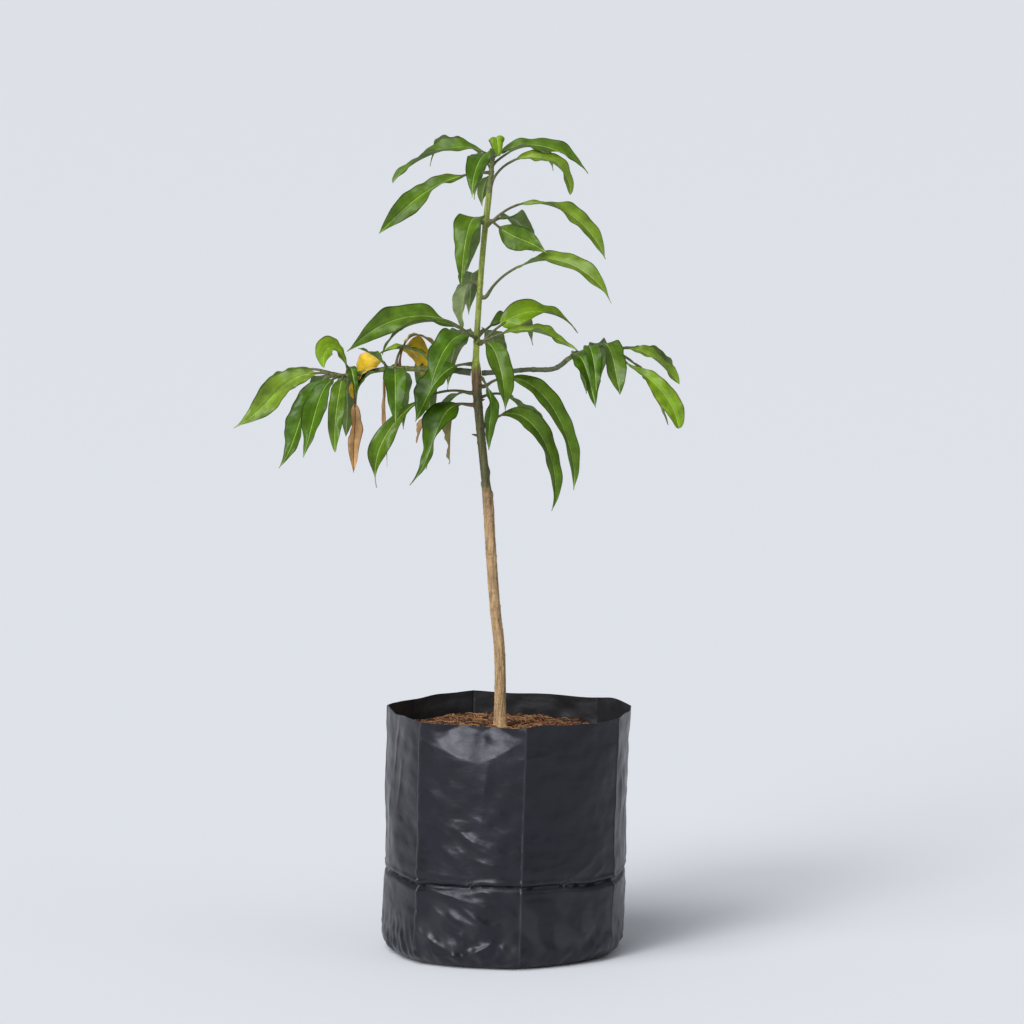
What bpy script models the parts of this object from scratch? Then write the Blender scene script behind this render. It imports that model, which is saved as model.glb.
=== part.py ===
"""A young grafted mango tree in a black film grow bag, life size, in metres with +Z up.

The origin is the middle of the bag's flat underside. +X is the viewer's right and -Y is
towards the viewer. Every size below is in millimetres and is turned to metres by MM.
"""

import collections
import math

import bpy
import numpy as np

MM = 0.001
GAP = 0.3  # between pieces that would otherwise touch

# The grow bag: creased panels and a soft rounded foot
BAG_RADIUS = 132.5
BAG_HEIGHT = 262.0
BAG_WALL = 1.5
BAG_FOOT_ROUND = 18.0
BAG_LEAN = 7.5  # how far the rim stands to the right of the foot
BAG_CREASES = (-135.0, -82.0, -28.0, 10.0, 42.0, 107.0, 142.0, 170.0)  # compass degrees
BAG_PANEL_FLATNESS = (0.22, 0.55)  # at the foot and at the rim, where 1 is a flat panel
BAG_WAIST_HEIGHT = 88.0  # the crease that runs round the bag above its foot
BAG_WAIST_DEPTH = 2.5
BAG_SIDES = 40

SOIL_LEVEL = 240.0
SOIL_EDGE_DROP = 3.0  # how far the soil falls from its middle to the bag
SOIL_FLAT_RADIUS = 60.0

# Limbs: (right, back, up, diameter) along each, from its foot
LEADER = (
    (-2.2, 0, 240.3, 12.8),
    (-2.4, 0, 318, 12.2),
    (-7.8, 0, 376, 11.4),
    (-11.6, 0, 430, 11.7),
    (-15.0, 0, 489, 11.8),
    (-18.0, 0, 514, 9.4),
    (-25.6, 0, 592, 9.6),
    (-27.5, 0, 627, 10.6),
    (-27.8, 0, 644, 7.2),
    (-25.6, 0, 687, 6.4),
    (-20.3, 0, 758, 6.2),
    (-13.6, 0, 820, 6.4),
    (-9.0, 0, 862, 3.0),
)
ROOT_FLARE = 5.2  # how much thicker the trunk is at the soil
ROOT_FLARE_HEIGHT = 9.0  # over which the flare falls to about a third
TRUNK_TOP = 820.0  # above it the leader is the stem of the topmost leaves

RIGHT_SHOOT = (
    (-21.7, -1, 626, 5.4),
    (6.0, -2, 628, 5.0),
    (28.0, -2, 630, 4.8),
    (56.0, -1, 631, 5.2),
    (74.0, 0, 643, 4.8),
    (96.0, 0, 652, 4.6),
    (110.0, 0, 653, 4.4),
    (125.0, 0, 650, 3.0),
)
RIGHT_BOUGH_LENGTH = 94.0

LEFT_SHOOT = (
    (-33.2, 0, 627, 7.6),
    (-50.0, 0, 629, 6.4),
    (-70.0, 0, 630, 6.0),
    (-95.0, 0, 630.5, 5.6),
    (-119.0, 0, 631, 5.4),
    (-145.0, 0, 627, 5.0),
    (-170.0, 0, 623, 4.8),
    (-194.0, 0, 628, 3.0),
)
LEFT_BOUGH_LENGTH = 34.0

LIMB_STEP = 10.0  # between the sections of a limb
LIMB_SIDES = 12
STEM_SIDES = 6
SPUR_RADIUS = 2.7  # the leaf base that stands on the trunk
SPUR_LENGTH = 7.0
SPUR_ROOT = 3.3  # how deep in the spur its leaves are rooted

# A leaf: a petiole that turns into a long blade, as one drooping curve
PETIOLE_RADIUS = 1.4
PETIOLE_SECTIONS = 2
BLADE_SECTIONS = 8
BLADE_FOLD = 20.0  # degrees that each half of the blade stands up from its midrib
BLADE_THICKNESS = 0.02  # of the leaf's chord, at the midrib
TIP_HALF_WIDTH = 0.7
HANDLE = 0.42  # how stiffly a leaf holds its first and last directions

# Compass headings are degrees from +X, so -90 points at the viewer. A leaf leaves its stem at
# `heading` and `rise`, and its tip, `reach` out and `drop` below its root, points down at
# `fall`. `roll` turns the blade about its midrib, at its base and at its tip. `petiole` and
# `belly` are shares of the length, and `arch` is how far the curve swings out.
Leaf = collections.namedtuple(
    "Leaf",
    "along heading reach drop rise fall width roll petiole belly arch",
    defaults=((0, 0), 0.2, 0.45, 1.0),
)


def far_leaves(seed, *rows):
    """Leaves away from the viewer: rows of (along, heading, reach, drop, rise), a little varied."""
    rng = np.random.default_rng(seed)
    for along, heading, reach, drop, rise in rows:
        yield Leaf(
            along,
            heading,
            reach,
            drop,
            rise=rise + rng.uniform(-4, 4),
            fall=rng.uniform(62, 78),
            width=rng.uniform(22, 27),
            roll=(rng.uniform(-15, 15), rng.uniform(-20, 20)),
            petiole=rng.uniform(0.16, 0.24),
        )


TIP_LEAVES = (
    Leaf(0.9, -177, 107, 26, rise=45, fall=58, width=27, roll=(-20, -15), petiole=0.08, arch=0.77),
    Leaf(0.5, -164, 124, 63, rise=0, fall=42, width=28, roll=(-25, -65), petiole=0.18, belly=0.55),
    Leaf(0.85, -109, 66, 36, rise=42, fall=88, width=26, petiole=0.1),
    Leaf(0.3, 115, 22, 30, rise=40, fall=85, width=14, petiole=0.2),
    Leaf(0.95, -62, 21, 7, rise=87, fall=88, width=18, petiole=0.2, arch=3.6),
    Leaf(0.9, 3, 102, 17, rise=42, fall=56, width=24, roll=(25, 30), petiole=0.08, arch=0.85),
    Leaf(0.1, -10, 87, 8, rise=70, fall=88, width=24, roll=(15, 35), petiole=0.3, arch=1.35),
    *far_leaves(1, (0.75, 133, 99, 7, 34), (0.5, 101, 99, 35, 32), (0.7, 49, 100, 10, 32)),
)
UPPER_LEFT_LEAVES = (
    Leaf(0, -112, 52, 63, rise=42, fall=86, width=32, petiole=0.1, belly=0.35, arch=1.05),
)
UPPER_RIGHT_LEAVES = (
    Leaf(0, -4, 121, 40, rise=46, fall=66, width=26, roll=(15, 50), belly=0.62, arch=1.1),
    Leaf(0, -32, 68, 31, rise=-38, fall=30, width=30, roll=(72, 78), petiole=0.12),
)
UPPER_BACK_LEAVES = tuple(far_leaves(2, (0, 103, 95, 54, 35), (0, 57, 94, 32, 30)))
MIDDLE_LEFT_LEAVES = (
    Leaf(0, 137, 20, 54, rise=20, fall=86, width=25, petiole=0.12),
    *far_leaves(3, (0, 95, 95, 42, 32)),
)
MIDDLE_RIGHT_LEAVES = (
    Leaf(0, -24, 146, 2, rise=58, fall=64, width=28, roll=(12, 35), petiole=0.26, arch=1.06),
)
WHORL_LEFT_LEAVES = (
    Leaf(0, -159, 140, 13, rise=40, fall=40, width=33, roll=(-12, -98), petiole=0.17),
)
WHORL_FRONT_LEAVES = (
    Leaf(0, -125, 80, 48, rise=22, fall=68, width=33, roll=(-10, -10), petiole=0.1),
)
WHORL_RIGHT_LEAVES = (
    Leaf(0, 6, 102, -8, rise=50, fall=56, width=30, roll=(80, -20), belly=0.35, arch=1.04),
    Leaf(0, -11, 104, 9, rise=29, fall=32, width=24, roll=(16, 22), petiole=0.18),
)
WHORL_HANGING_LEAF = (
    Leaf(0, -67, 62, 67, rise=20, fall=88, width=31, petiole=0.12, belly=0.5),
)
WHORL_BACK_LEAVES = tuple(
    far_leaves(
        4, (0, 161, 108, 20, 34), (0, 108, 105, 64, 30), (0, 73, 99, 68, 30), (0, 39, 103, 14, 32)
    )
)
NODE_LEFT_LEAF = (
    Leaf(0, -162, 50, 26, rise=35, fall=72, width=28, roll=(-20, -20), petiole=0.26),
)
NODE_HANGING_LEAF = (
    Leaf(0, -55, 15, 74, rise=-25, fall=89, width=19, petiole=0.18, belly=0.5),
)
LOWER_LEFT_LEAF = (
    Leaf(0, -168, 101, 100, rise=18, fall=104, width=25, roll=(-45, -80), belly=0.64, arch=0.92),
)
LOWEST_LEFT_LEAVES = (
    Leaf(0, -159, 69, 84, rise=-5, fall=38, width=30, roll=(-25, -25), petiole=0.2, belly=0.4),
    Leaf(0, 160, 24, 65, rise=15, fall=86, width=12, petiole=0.25),
    Leaf(0, 164, 62, 41, rise=20, fall=80, width=12, petiole=0.3),
)
LOWER_RIGHT_LEAF = (
    Leaf(0, -1, 95, 112, rise=38, fall=98, width=27, roll=(35, 60), petiole=0.18),
)
LOWEST_RIGHT_LEAF = (
    Leaf(0, 8, 69, 93, rise=52, fall=110, width=26, roll=(40, 75), petiole=0.12, arch=1.2),
)
LOWER_BACK_LEAVES = tuple(far_leaves(5, (0, 119, 84, 87, 25), (0, 36, 97, 83, 25)))
RIGHT_SHOOT_LEAVES = (
    Leaf(0.02, -59, 54, 48, rise=-20, fall=66, width=28, roll=(5, 10), petiole=0.1),
    Leaf(0.4, -79, 49, 40, rise=15, fall=85, width=18, petiole=0.15),
    Leaf(0.65, -64, 49, 46, rise=-30, fall=70, width=30, petiole=0.1),
    Leaf(0.93, 0, 71, 37, rise=12, fall=48, width=23, roll=(15, 38), petiole=0.12, belly=0.6),
    Leaf(0.9, -18, 75, 83, rise=-43, fall=82, width=25, roll=(40, 62), petiole=0.12, belly=0.66),
    *far_leaves(6, (0.1, 78, 76, 47, 20), (0.55, 84, 79, 44, 18)),
    *far_leaves(9, (0.88, 39, 81, 87, -25), (0.95, 30, 76, 37, 8)),
)
LEFT_SHOOT_LEAVES = (
    Leaf(0.04, 175, 58, -16, rise=72, fall=28, width=18, petiole=0.12),
    Leaf(0.37, -88, 62, 55, rise=12, fall=88, width=28, petiole=0.1, belly=0.4),
    Leaf(0.4, 108, 16, 108, rise=10, fall=89, width=10, petiole=0.2),
    Leaf(0.44, 163, 41, 12, rise=80, fall=82, width=26, roll=(-40, -40), petiole=0.2, arch=1.3),
    Leaf(0.36, 40, 45, 2, rise=84, fall=82, width=25, petiole=0.25, arch=2.6),
    Leaf(0.33, 25, 47, -16, rise=86, fall=52, width=13, petiole=0.3, arch=1.9),
    Leaf(0.42, -148, 38, -24, rise=45, fall=-20, width=14, petiole=0.12),
    Leaf(0.45, -166, 34, 35, rise=0, fall=80, width=18, petiole=0.12),
    Leaf(0.735, -80, 4, 105, rise=-50, fall=89, width=14, petiole=0.15),
    Leaf(0.8, -126, 31, -18, rise=86, fall=60, width=23, petiole=0.15, arch=1.9),
    Leaf(0.79, -55, 17, 22, rise=84, fall=89, width=12, petiole=0.15, arch=2.0),
    Leaf(0.81, -98, 59, 76, rise=0, fall=87, width=20, petiole=0.14),
    Leaf(0.82, -134, 60, 83, rise=0, fall=60, width=29, roll=(-15, -15), petiole=0.14),
    Leaf(0.88, -160, 65, 98, rise=-12, fall=48, width=29, roll=(-35, -45), petiole=0.12),
    Leaf(0.95, -173, 102, 58, rise=5, fall=30, width=33, roll=(-50, -65), petiole=0.1),
    *far_leaves(7, (0.9, 155, 88, 46, 20), (0.85, 119, 84, 82, 10), (0.75, 96, 79, 74, 15)),
    *far_leaves(8, (0.4, 82, 83, 74, 15), (0.15, 84, 89, 67, 20)),
)

# Masses of leaves on the trunk: (height, compass heading of the spur, leaves)
TRUNK_MASSES = {
    "upper_left_leaves": (788, -150, UPPER_LEFT_LEAVES),
    "upper_right_leaves": (789, -12, UPPER_RIGHT_LEAVES),
    "upper_back_leaves": (782, 80, UPPER_BACK_LEAVES),
    "middle_left_leaves": (723, 135, MIDDLE_LEFT_LEAVES),
    "middle_right_leaves": (708, -15, MIDDLE_RIGHT_LEAVES),
    "whorl_left_leaves": (667, -165, WHORL_LEFT_LEAVES),
    "whorl_front_leaves": (665, -112, WHORL_FRONT_LEAVES),
    "whorl_right_leaves": (660, 5, WHORL_RIGHT_LEAVES),
    "whorl_hanging_leaf": (658, -50, WHORL_HANGING_LEAF),
    "whorl_back_leaves": (662, 90, WHORL_BACK_LEAVES),
    "node_left_leaf": (636, -160, NODE_LEFT_LEAF),
    "node_hanging_leaf": (621, -50, NODE_HANGING_LEAF),
    "lower_left_leaf": (605, -170, LOWER_LEFT_LEAF),
    "lowest_left_leaves": (592, -178, LOWEST_LEFT_LEAVES),
    "lower_right_leaf": (612, 5, LOWER_RIGHT_LEAF),
    "lowest_right_leaf": (569, 0, LOWEST_RIGHT_LEAF),
    "lower_back_leaves": (598, 78, LOWER_BACK_LEAVES),
}


def clear_scene():
    for obj in list(bpy.data.objects):
        bpy.data.objects.remove(obj)


def material(name, colour, roughness):
    """A plain finish; colour is linear red, green and blue."""
    made = bpy.data.materials.new(name)
    made.use_nodes = True
    shader = made.node_tree.nodes["Principled BSDF"]
    shader.inputs["Base Color"].default_value = (*colour, 1)
    shader.inputs["Roughness"].default_value = roughness
    shader.inputs["Metallic"].default_value = 0
    return made


def compass(heading, elevation):
    """The unit vector at a compass heading and an elevation, both in degrees."""
    around, up = math.radians(heading), math.radians(elevation)
    return np.array(
        (math.cos(up) * math.cos(around), math.cos(up) * math.sin(around), math.sin(up))
    )


def add_solid(name, rings, finish, blade=False):
    """One closed solid through equal rings of points, in millimetres, with flat ends.

    Its walls are cut into triangles along parallel diagonals, so that they never cross: on
    the way up and the way down of a wall that folds back inside itself, and on the two
    faces of a blade, whose rings run over its top and then back along its underside.
    """
    rings = np.asarray(rings, float)
    levels, sides = rings.shape[:2]
    heights = rings[:, :, 2].mean(axis=1)
    faces = [tuple(range(sides))[::-1], tuple(range((levels - 1) * sides, levels * sides))]
    for level in range(levels - 1):
        for side in range(sides):
            after = (side + 1) % sides
            low, high = level * sides, (level + 1) * sides
            corners = (low + side, low + after, high + after, high + side)
            turned = side >= sides // 2 if blade else heights[level + 1] < heights[level]
            if turned:
                corners = corners[1:] + corners[:1]
            faces += (corners[:3], (corners[0], *corners[2:]))
    mesh = bpy.data.meshes.new(name)
    mesh.from_pydata((rings.reshape(-1, 3) * MM).tolist(), [], faces)
    mesh.materials.append(finish)
    mesh.shade_smooth()
    mesh.set_sharp_from_angle(angle=math.radians(50))
    obj = bpy.data.objects.new(name, mesh)
    bpy.context.scene.collection.objects.link(obj)
    return obj


def limb_axis(knots):
    """A smooth curve through the knots: its points, their distance along it and their radii."""
    knots = np.array(knots, float)
    ends = np.vstack([2 * knots[0] - knots[1], knots, 2 * knots[-1] - knots[-2]])
    steps = np.linspace(0, 1, 24, endpoint=False)[:, None]
    pieces = []
    for before, start, end, after in zip(ends, ends[1:], ends[2:], ends[3:]):
        slope_in, slope_out = (end - before) / 2, (after - start) / 2
        pieces.append(
            (2 * steps**3 - 3 * steps**2 + 1) * start
            + (steps**3 - 2 * steps**2 + steps) * slope_in
            + (3 * steps**2 - 2 * steps**3) * end
            + (steps**3 - steps**2) * slope_out
        )
    curve = np.vstack([*pieces, knots[-1:]])
    hops = np.linalg.norm(np.diff(curve[:, :3], axis=0), axis=1)
    return curve[:, :3], np.concatenate([[0], np.cumsum(hops)]), curve[:, 3] / 2


def with_root_flare(axis):
    """The same limb, thicker at its foot: the flare dies away up the limb."""
    points, distances, radii = axis
    return points, distances, radii + ROOT_FLARE / 2 * np.exp(-distances / ROOT_FLARE_HEIGHT)


def along_axis(axis, distance):
    """The point, the direction and the radius at a distance along a limb."""
    points, distances, radii = axis
    point = np.array([np.interp(distance, distances, points[:, i]) for i in range(3)])
    step = 1.0
    ahead = min(distance + step, distances[-1])
    behind = max(distance - step, 0)
    ends = [
        np.array([np.interp(d, distances, points[:, i]) for i in range(3)])
        for d in (behind, ahead)
    ]
    direction = (ends[1] - ends[0]) / np.linalg.norm(ends[1] - ends[0])
    return point, direction, float(np.interp(distance, distances, radii))


def distance_at_height(axis, height):
    points, distances, _ = axis
    return float(np.interp(height, points[:, 2], distances))


def limb_rings(axis, start, end, step, sides):
    """Circles square to a limb, about `step` apart, from one distance to another."""
    count = max(3, round((end - start) / step) + 1)
    turns = np.linspace(0, 2 * math.pi, sides, endpoint=False)
    rings = []
    for distance in np.linspace(start, end, count):
        point, direction, radius = along_axis(axis, distance)
        side = np.cross((0, 1, 0), direction)
        side /= np.linalg.norm(side)
        back = np.cross(direction, side)
        rings.append(
            point + radius * (np.outer(np.cos(turns), side) + np.outer(np.sin(turns), back))
        )
    return rings


def leaf_curve(root, leaf, shares):
    """Points and directions on the leaf's midrib: a cubic from its root to its tip."""
    tip = root + leaf.reach * compass(leaf.heading, 0) - (0, 0, leaf.drop)
    handle = HANDLE * leaf.arch * np.linalg.norm(tip - root)
    first = root + handle * compass(leaf.heading, leaf.rise)
    last = tip - handle * compass(leaf.heading, -leaf.fall)
    t = np.asarray(shares, float)[:, None]
    points = (
        (1 - t) ** 3 * root + 3 * t * (1 - t) ** 2 * first + 3 * t**2 * (1 - t) * last + t**3 * tip
    )
    slopes = (
        (1 - t) ** 2 * (first - root) + 2 * t * (1 - t) * (last - first) + t**2 * (tip - last)
    )
    return points, slopes / np.linalg.norm(slopes, axis=1, keepdims=True)


def blade_half_width(leaf, share):
    """Half the blade's width: a long oval, widest at `belly`, drawn out into the tip."""
    lean = math.log(0.5) / math.log(leaf.belly)
    oval = np.sin(math.pi * np.clip(share, 0, 1) ** lean)
    return leaf.width / 2 * np.clip(oval, 0, 1) ** (0.7 + 0.4 * share)


def leaf_rings(root, leaf):
    """Four-sided sections of a leaf: both edges, and the midrib's top and underside."""
    stalk = np.linspace(0, leaf.petiole, PETIOLE_SECTIONS, endpoint=False)
    blade = np.linspace(leaf.petiole, 1, BLADE_SECTIONS)
    shares = np.concatenate([stalk, blade])
    points, directions = leaf_curve(root, leaf, shares)
    on_blade = np.clip((shares - leaf.petiole) / (1 - leaf.petiole), 0, 1)
    half = np.maximum(blade_half_width(leaf, on_blade), 0)
    half = np.where(shares <= leaf.petiole, PETIOLE_RADIUS, np.maximum(half, TIP_HALF_WIDTH))
    chord = math.hypot(leaf.reach, leaf.drop)
    thick = np.where(shares <= leaf.petiole, PETIOLE_RADIUS, BLADE_THICKNESS * chord / 2)
    thick[-1] = TIP_HALF_WIDTH / 2
    rings = []
    for point, direction, share, wide, deep in zip(points, directions, on_blade, half, thick):
        across = compass(leaf.heading + 90, 0)
        up = np.cross(direction, across)
        roll = math.radians(leaf.roll[0] + (leaf.roll[1] - leaf.roll[0]) * share)
        across, up = (
            math.cos(roll) * across + math.sin(roll) * up,
            math.cos(roll) * up - math.sin(roll) * across,
        )
        fold = math.radians(BLADE_FOLD) * min(1, 4 * share)
        edge, lift = wide * math.cos(fold) * across, wide * math.sin(fold) * up
        rings.append((point + edge + lift, point + deep * up, point - edge + lift, point - deep * up))
    return rings


def fuse(name, pieces):
    """Joins overlapping solids into one with a Boolean union, and removes them."""
    first, rest = pieces[0], pieces[1:]
    first.name = name
    if not rest:
        return first
    held = bpy.data.collections.new(name + "_pieces")
    for piece in rest:
        held.objects.link(piece)
    union = first.modifiers.new("union", "BOOLEAN")
    union.operation = "UNION"
    union.operand_type = "COLLECTION"
    union.collection = held
    union.solver = "MANIFOLD"
    graph = bpy.context.evaluated_depsgraph_get()
    joined = bpy.data.meshes.new_from_object(first.evaluated_get(graph))
    first.modifiers.remove(union)
    first.data = joined
    joined.name = name
    for piece in rest:
        bpy.data.objects.remove(piece)
    bpy.data.collections.remove(held)
    return first


def bag_profile(offset):
    """(height of the bag's skin, inset, height) from the foot to the rim, `offset` inside it."""
    profile = []
    for turn in np.linspace(0, math.pi / 2, 4):
        inset = BAG_FOOT_ROUND * (1 - math.sin(turn)) + offset * math.sin(turn)
        height = BAG_FOOT_ROUND * (1 - math.cos(turn))
        profile.append((height, inset, height + offset * math.cos(turn)))
    waist = BAG_WAIST_HEIGHT
    for height in (45, waist - 11, waist, waist + 12, 150, 215, BAG_HEIGHT):
        profile.append((height, offset, height))
    return profile


def bag_ring(skin_height, inset, height):
    """The bag's outline at a height: panels between creases, flatter towards the rim."""
    share = skin_height / BAG_HEIGHT
    flatness = BAG_PANEL_FLATNESS[0] + share * (BAG_PANEL_FLATNESS[1] - BAG_PANEL_FLATNESS[0])
    waist = BAG_WAIST_DEPTH * math.exp(-(((skin_height - BAG_WAIST_HEIGHT) / 9) ** 2))
    creases = np.array((*BAG_CREASES, BAG_CREASES[0] + 360))
    around = np.linspace(creases[0], creases[-1], BAG_SIDES, endpoint=False)
    panel = np.searchsorted(creases, around, side="right") - 1
    middle = (creases[panel] + creases[panel + 1]) / 2
    half = np.radians(creases[panel + 1] - creases[panel]) / 2
    chord = np.cos(half) / np.cos(np.radians(around - middle))
    radius = (BAG_RADIUS - waist) * (1 - flatness * (1 - chord)) - inset
    angle = np.radians(around)
    middle_x = BAG_LEAN * share
    return np.stack(
        [middle_x + radius * np.cos(angle), radius * np.sin(angle), np.full(BAG_SIDES, height)], 1
    )


def make_bag(finish):
    outside = [bag_ring(*level) for level in bag_profile(0)]
    inside = [bag_ring(*level) for level in bag_profile(BAG_WALL)]
    return add_solid("grow_bag", outside + inside[::-1], finish)


def make_soil(finish):
    levels = [level for level in bag_profile(BAG_WALL + GAP) if level[2] < SOIL_LEVEL - 5]
    rim = SOIL_LEVEL - SOIL_EDGE_DROP
    rings = [bag_ring(*level) for level in levels]
    rings.append(bag_ring(rim, BAG_WALL + GAP, rim))
    rings.append(bag_ring(rim, BAG_RADIUS - SOIL_FLAT_RADIUS, SOIL_LEVEL))
    return add_solid("potting_mix", rings, finish)


def make_limb(name, axis, start, end, finish):
    return add_solid(name, limb_rings(axis, start, end, LIMB_STEP, LIMB_SIDES), finish)


def mass_on_shoot(name, axis, start, leaves, finish):
    """A stem that runs on from a limb's end, with leaves along it."""
    end = axis[1][-1]
    pieces = [add_solid(name, limb_rings(axis, start, end, LIMB_STEP, STEM_SIDES), finish)]
    for leaf in leaves:
        root = along_axis(axis, start + 2 + leaf.along * (end - start - 4))[0]
        pieces.append(add_solid(name + "_leaf", leaf_rings(root, leaf), finish, blade=True))
    return fuse(name, pieces)


def mass_on_trunk(name, axis, height, heading, leaves, finish):
    """A short spur just clear of the trunk, with leaves rooted in it."""
    point, _, radius = along_axis(axis, distance_at_height(axis, height))
    out = compass(heading, 0)
    across = compass(heading + 90, 0)
    turns = np.linspace(0, 2 * math.pi, STEM_SIDES, endpoint=False)
    circle = np.outer(np.cos(turns), across) + np.outer(np.sin(turns), (0, 0, 1))
    near = point + (radius + 2 * GAP) * out
    shape = ((0, 0.9), (0.5, 1.0), (1, 0.55))
    rings = [near + share * SPUR_LENGTH * out + wide * SPUR_RADIUS * circle for share, wide in shape]
    pieces = [add_solid(name, rings, finish)]
    root = near + SPUR_ROOT * out
    for leaf in leaves:
        pieces.append(add_solid(name + "_leaf", leaf_rings(root, leaf), finish, blade=True))
    return fuse(name, pieces)


def main():
    clear_scene()
    film = material("black_film", (0.022, 0.023, 0.028), 0.35)
    mix = material("coir_potting_mix", (0.13, 0.045, 0.018), 0.95)
    bark = material("bark", (0.26, 0.19, 0.09), 0.8)
    green_wood = material("green_bark", (0.12, 0.13, 0.04), 0.6)
    leaf_green = material("leaf", (0.035, 0.12, 0.012), 0.4)

    make_bag(film)
    make_soil(mix)

    leader = with_root_flare(limb_axis(LEADER))
    right = limb_axis(RIGHT_SHOOT)
    left = limb_axis(LEFT_SHOOT)
    trunk_end = distance_at_height(leader, TRUNK_TOP)
    make_limb("trunk", leader, 0, trunk_end, bark)
    make_limb("right_bough", right, 0, RIGHT_BOUGH_LENGTH, green_wood)
    make_limb("left_bough", left, 0, LEFT_BOUGH_LENGTH, green_wood)

    mass_on_shoot("tip_leaves", leader, trunk_end + GAP, TIP_LEAVES, leaf_green)
    mass_on_shoot(
        "right_shoot_leaves", right, RIGHT_BOUGH_LENGTH + GAP, RIGHT_SHOOT_LEAVES, leaf_green
    )
    mass_on_shoot(
        "left_shoot_leaves", left, LEFT_BOUGH_LENGTH + GAP, LEFT_SHOOT_LEAVES, leaf_green
    )
    for name, (height, heading, leaves) in TRUNK_MASSES.items():
        mass_on_trunk(name, leader, height, heading, leaves, leaf_green)


if __name__ == "__main__":
    main()
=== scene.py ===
"""The looks of a young grafted mango tree in a black film grow bag, life size.

It is laid out as a Blender add-on and run as a script. Lengths are in millimetres, as in the
part's source, and are turned to metres by MM. +X is the viewer's right and -Y is towards the
viewer. Compass headings are degrees from +X, so -90 points at the viewer.
"""

import math
from collections import namedtuple
from itertools import combinations

import bpy
import numpy as np
from bpy.props import FloatProperty, FloatVectorProperty, PointerProperty
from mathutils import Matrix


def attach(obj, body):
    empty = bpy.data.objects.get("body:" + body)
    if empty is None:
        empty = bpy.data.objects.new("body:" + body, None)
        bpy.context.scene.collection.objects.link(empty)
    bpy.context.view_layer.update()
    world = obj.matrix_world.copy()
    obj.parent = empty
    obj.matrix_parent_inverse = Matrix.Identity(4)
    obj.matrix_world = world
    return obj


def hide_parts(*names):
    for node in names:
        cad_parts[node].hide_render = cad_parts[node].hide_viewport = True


bl_info = {
    "name": "Potted mango tree",
    "version": (1, 0, 0),
    "blender": (4, 5, 0),
    "location": "3D Viewport > Sidebar > Mango Tree",
    "description": "Dresses a young grafted mango tree in its film grow bag",
    "category": "Add Mesh",
}

MM = 0.001

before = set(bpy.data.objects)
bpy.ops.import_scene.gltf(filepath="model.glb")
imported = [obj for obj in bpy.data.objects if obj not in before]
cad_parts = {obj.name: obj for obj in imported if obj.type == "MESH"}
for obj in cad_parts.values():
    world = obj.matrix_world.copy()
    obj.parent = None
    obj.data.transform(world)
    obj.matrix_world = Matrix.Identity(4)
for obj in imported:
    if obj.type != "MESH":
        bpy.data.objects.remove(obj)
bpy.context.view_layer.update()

# The grow bag, by the source's rule
BAG_RADIUS = 132.5
BAG_HEIGHT = 262.0
BAG_FOOT_ROUND = 18.0
BAG_LEAN = 7.5
BAG_CREASES = (-135.0, -82.0, -28.0, 10.0, 42.0, 107.0, 142.0, 170.0)
BAG_PANEL_FLATNESS = (0.22, 0.55)  # at the foot and at the rim
BAG_WAIST_HEIGHT = 88.0
BAG_WAIST_DEPTH = 2.5
BAG_WAIST_REACH = 9.0
SOIL_LEVEL = 240.0
SOIL_EDGE_DROP = 3.0
SOIL_FLAT_RADIUS = 60.0

# Limbs, by the source's rule: (right, back, up, diameter) along each, from its foot
LEADER = (
    (-2.2, 0, 240.3, 12.8),
    (-2.4, 0, 318, 12.2),
    (-7.8, 0, 376, 11.4),
    (-11.6, 0, 430, 11.7),
    (-15.0, 0, 489, 11.8),
    (-18.0, 0, 514, 9.4),
    (-25.6, 0, 592, 9.6),
    (-27.5, 0, 627, 10.6),
    (-27.8, 0, 644, 7.2),
    (-25.6, 0, 687, 6.4),
    (-20.3, 0, 758, 6.2),
    (-13.6, 0, 820, 6.4),
    (-9.0, 0, 862, 3.0),
)
ROOT_FLARE = 5.2
ROOT_FLARE_HEIGHT = 9.0
TRUNK_TOP = 820.0
RIGHT_SHOOT = (
    (-21.7, -1, 626, 5.4),
    (6.0, -2, 628, 5.0),
    (28.0, -2, 630, 4.8),
    (56.0, -1, 631, 5.2),
    (74.0, 0, 643, 4.8),
    (96.0, 0, 652, 4.6),
    (110.0, 0, 653, 4.4),
    (125.0, 0, 650, 3.0),
)
RIGHT_BOUGH_LENGTH = 94.0
LEFT_SHOOT = (
    (-33.2, 0, 627, 7.6),
    (-50.0, 0, 629, 6.4),
    (-70.0, 0, 630, 6.0),
    (-95.0, 0, 630.5, 5.6),
    (-119.0, 0, 631, 5.4),
    (-145.0, 0, 627, 5.0),
    (-170.0, 0, 623, 4.8),
    (-194.0, 0, 628, 3.0),
)
LEFT_BOUGH_LENGTH = 34.0
GAP = 0.3
SPUR_ROOT = 3.3
SHOOT_MARGIN = 2.0  # how far from its ends a shoot carries leaves
HANDLE = 0.42  # the share of a leaf's span that the handles of its cubic reach

# A leaf, as in the source: its place along its shoot, its heading, how far out and down its tip
# is, how steeply it rises at its root and falls at its tip, its width, its roll at each end, the
# shares of it where its stalk ends and its blade is widest, and how high it arches. Then come its
# kind, how far its halves roll up towards the margin, and its point: 0.5 for a rounded end, 1.1
# for a pointed one and 2.5 for one drawn out thin.
Leaf = namedtuple(
    "Leaf",
    "along heading reach drop rise fall width roll petiole belly arch kind curl point",
    defaults=((0, 0), 0.2, 0.45, 1.0, "mature", -16, 1.1),
)
FAR_KINDS = ("mature", "deep", "bright")


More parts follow.
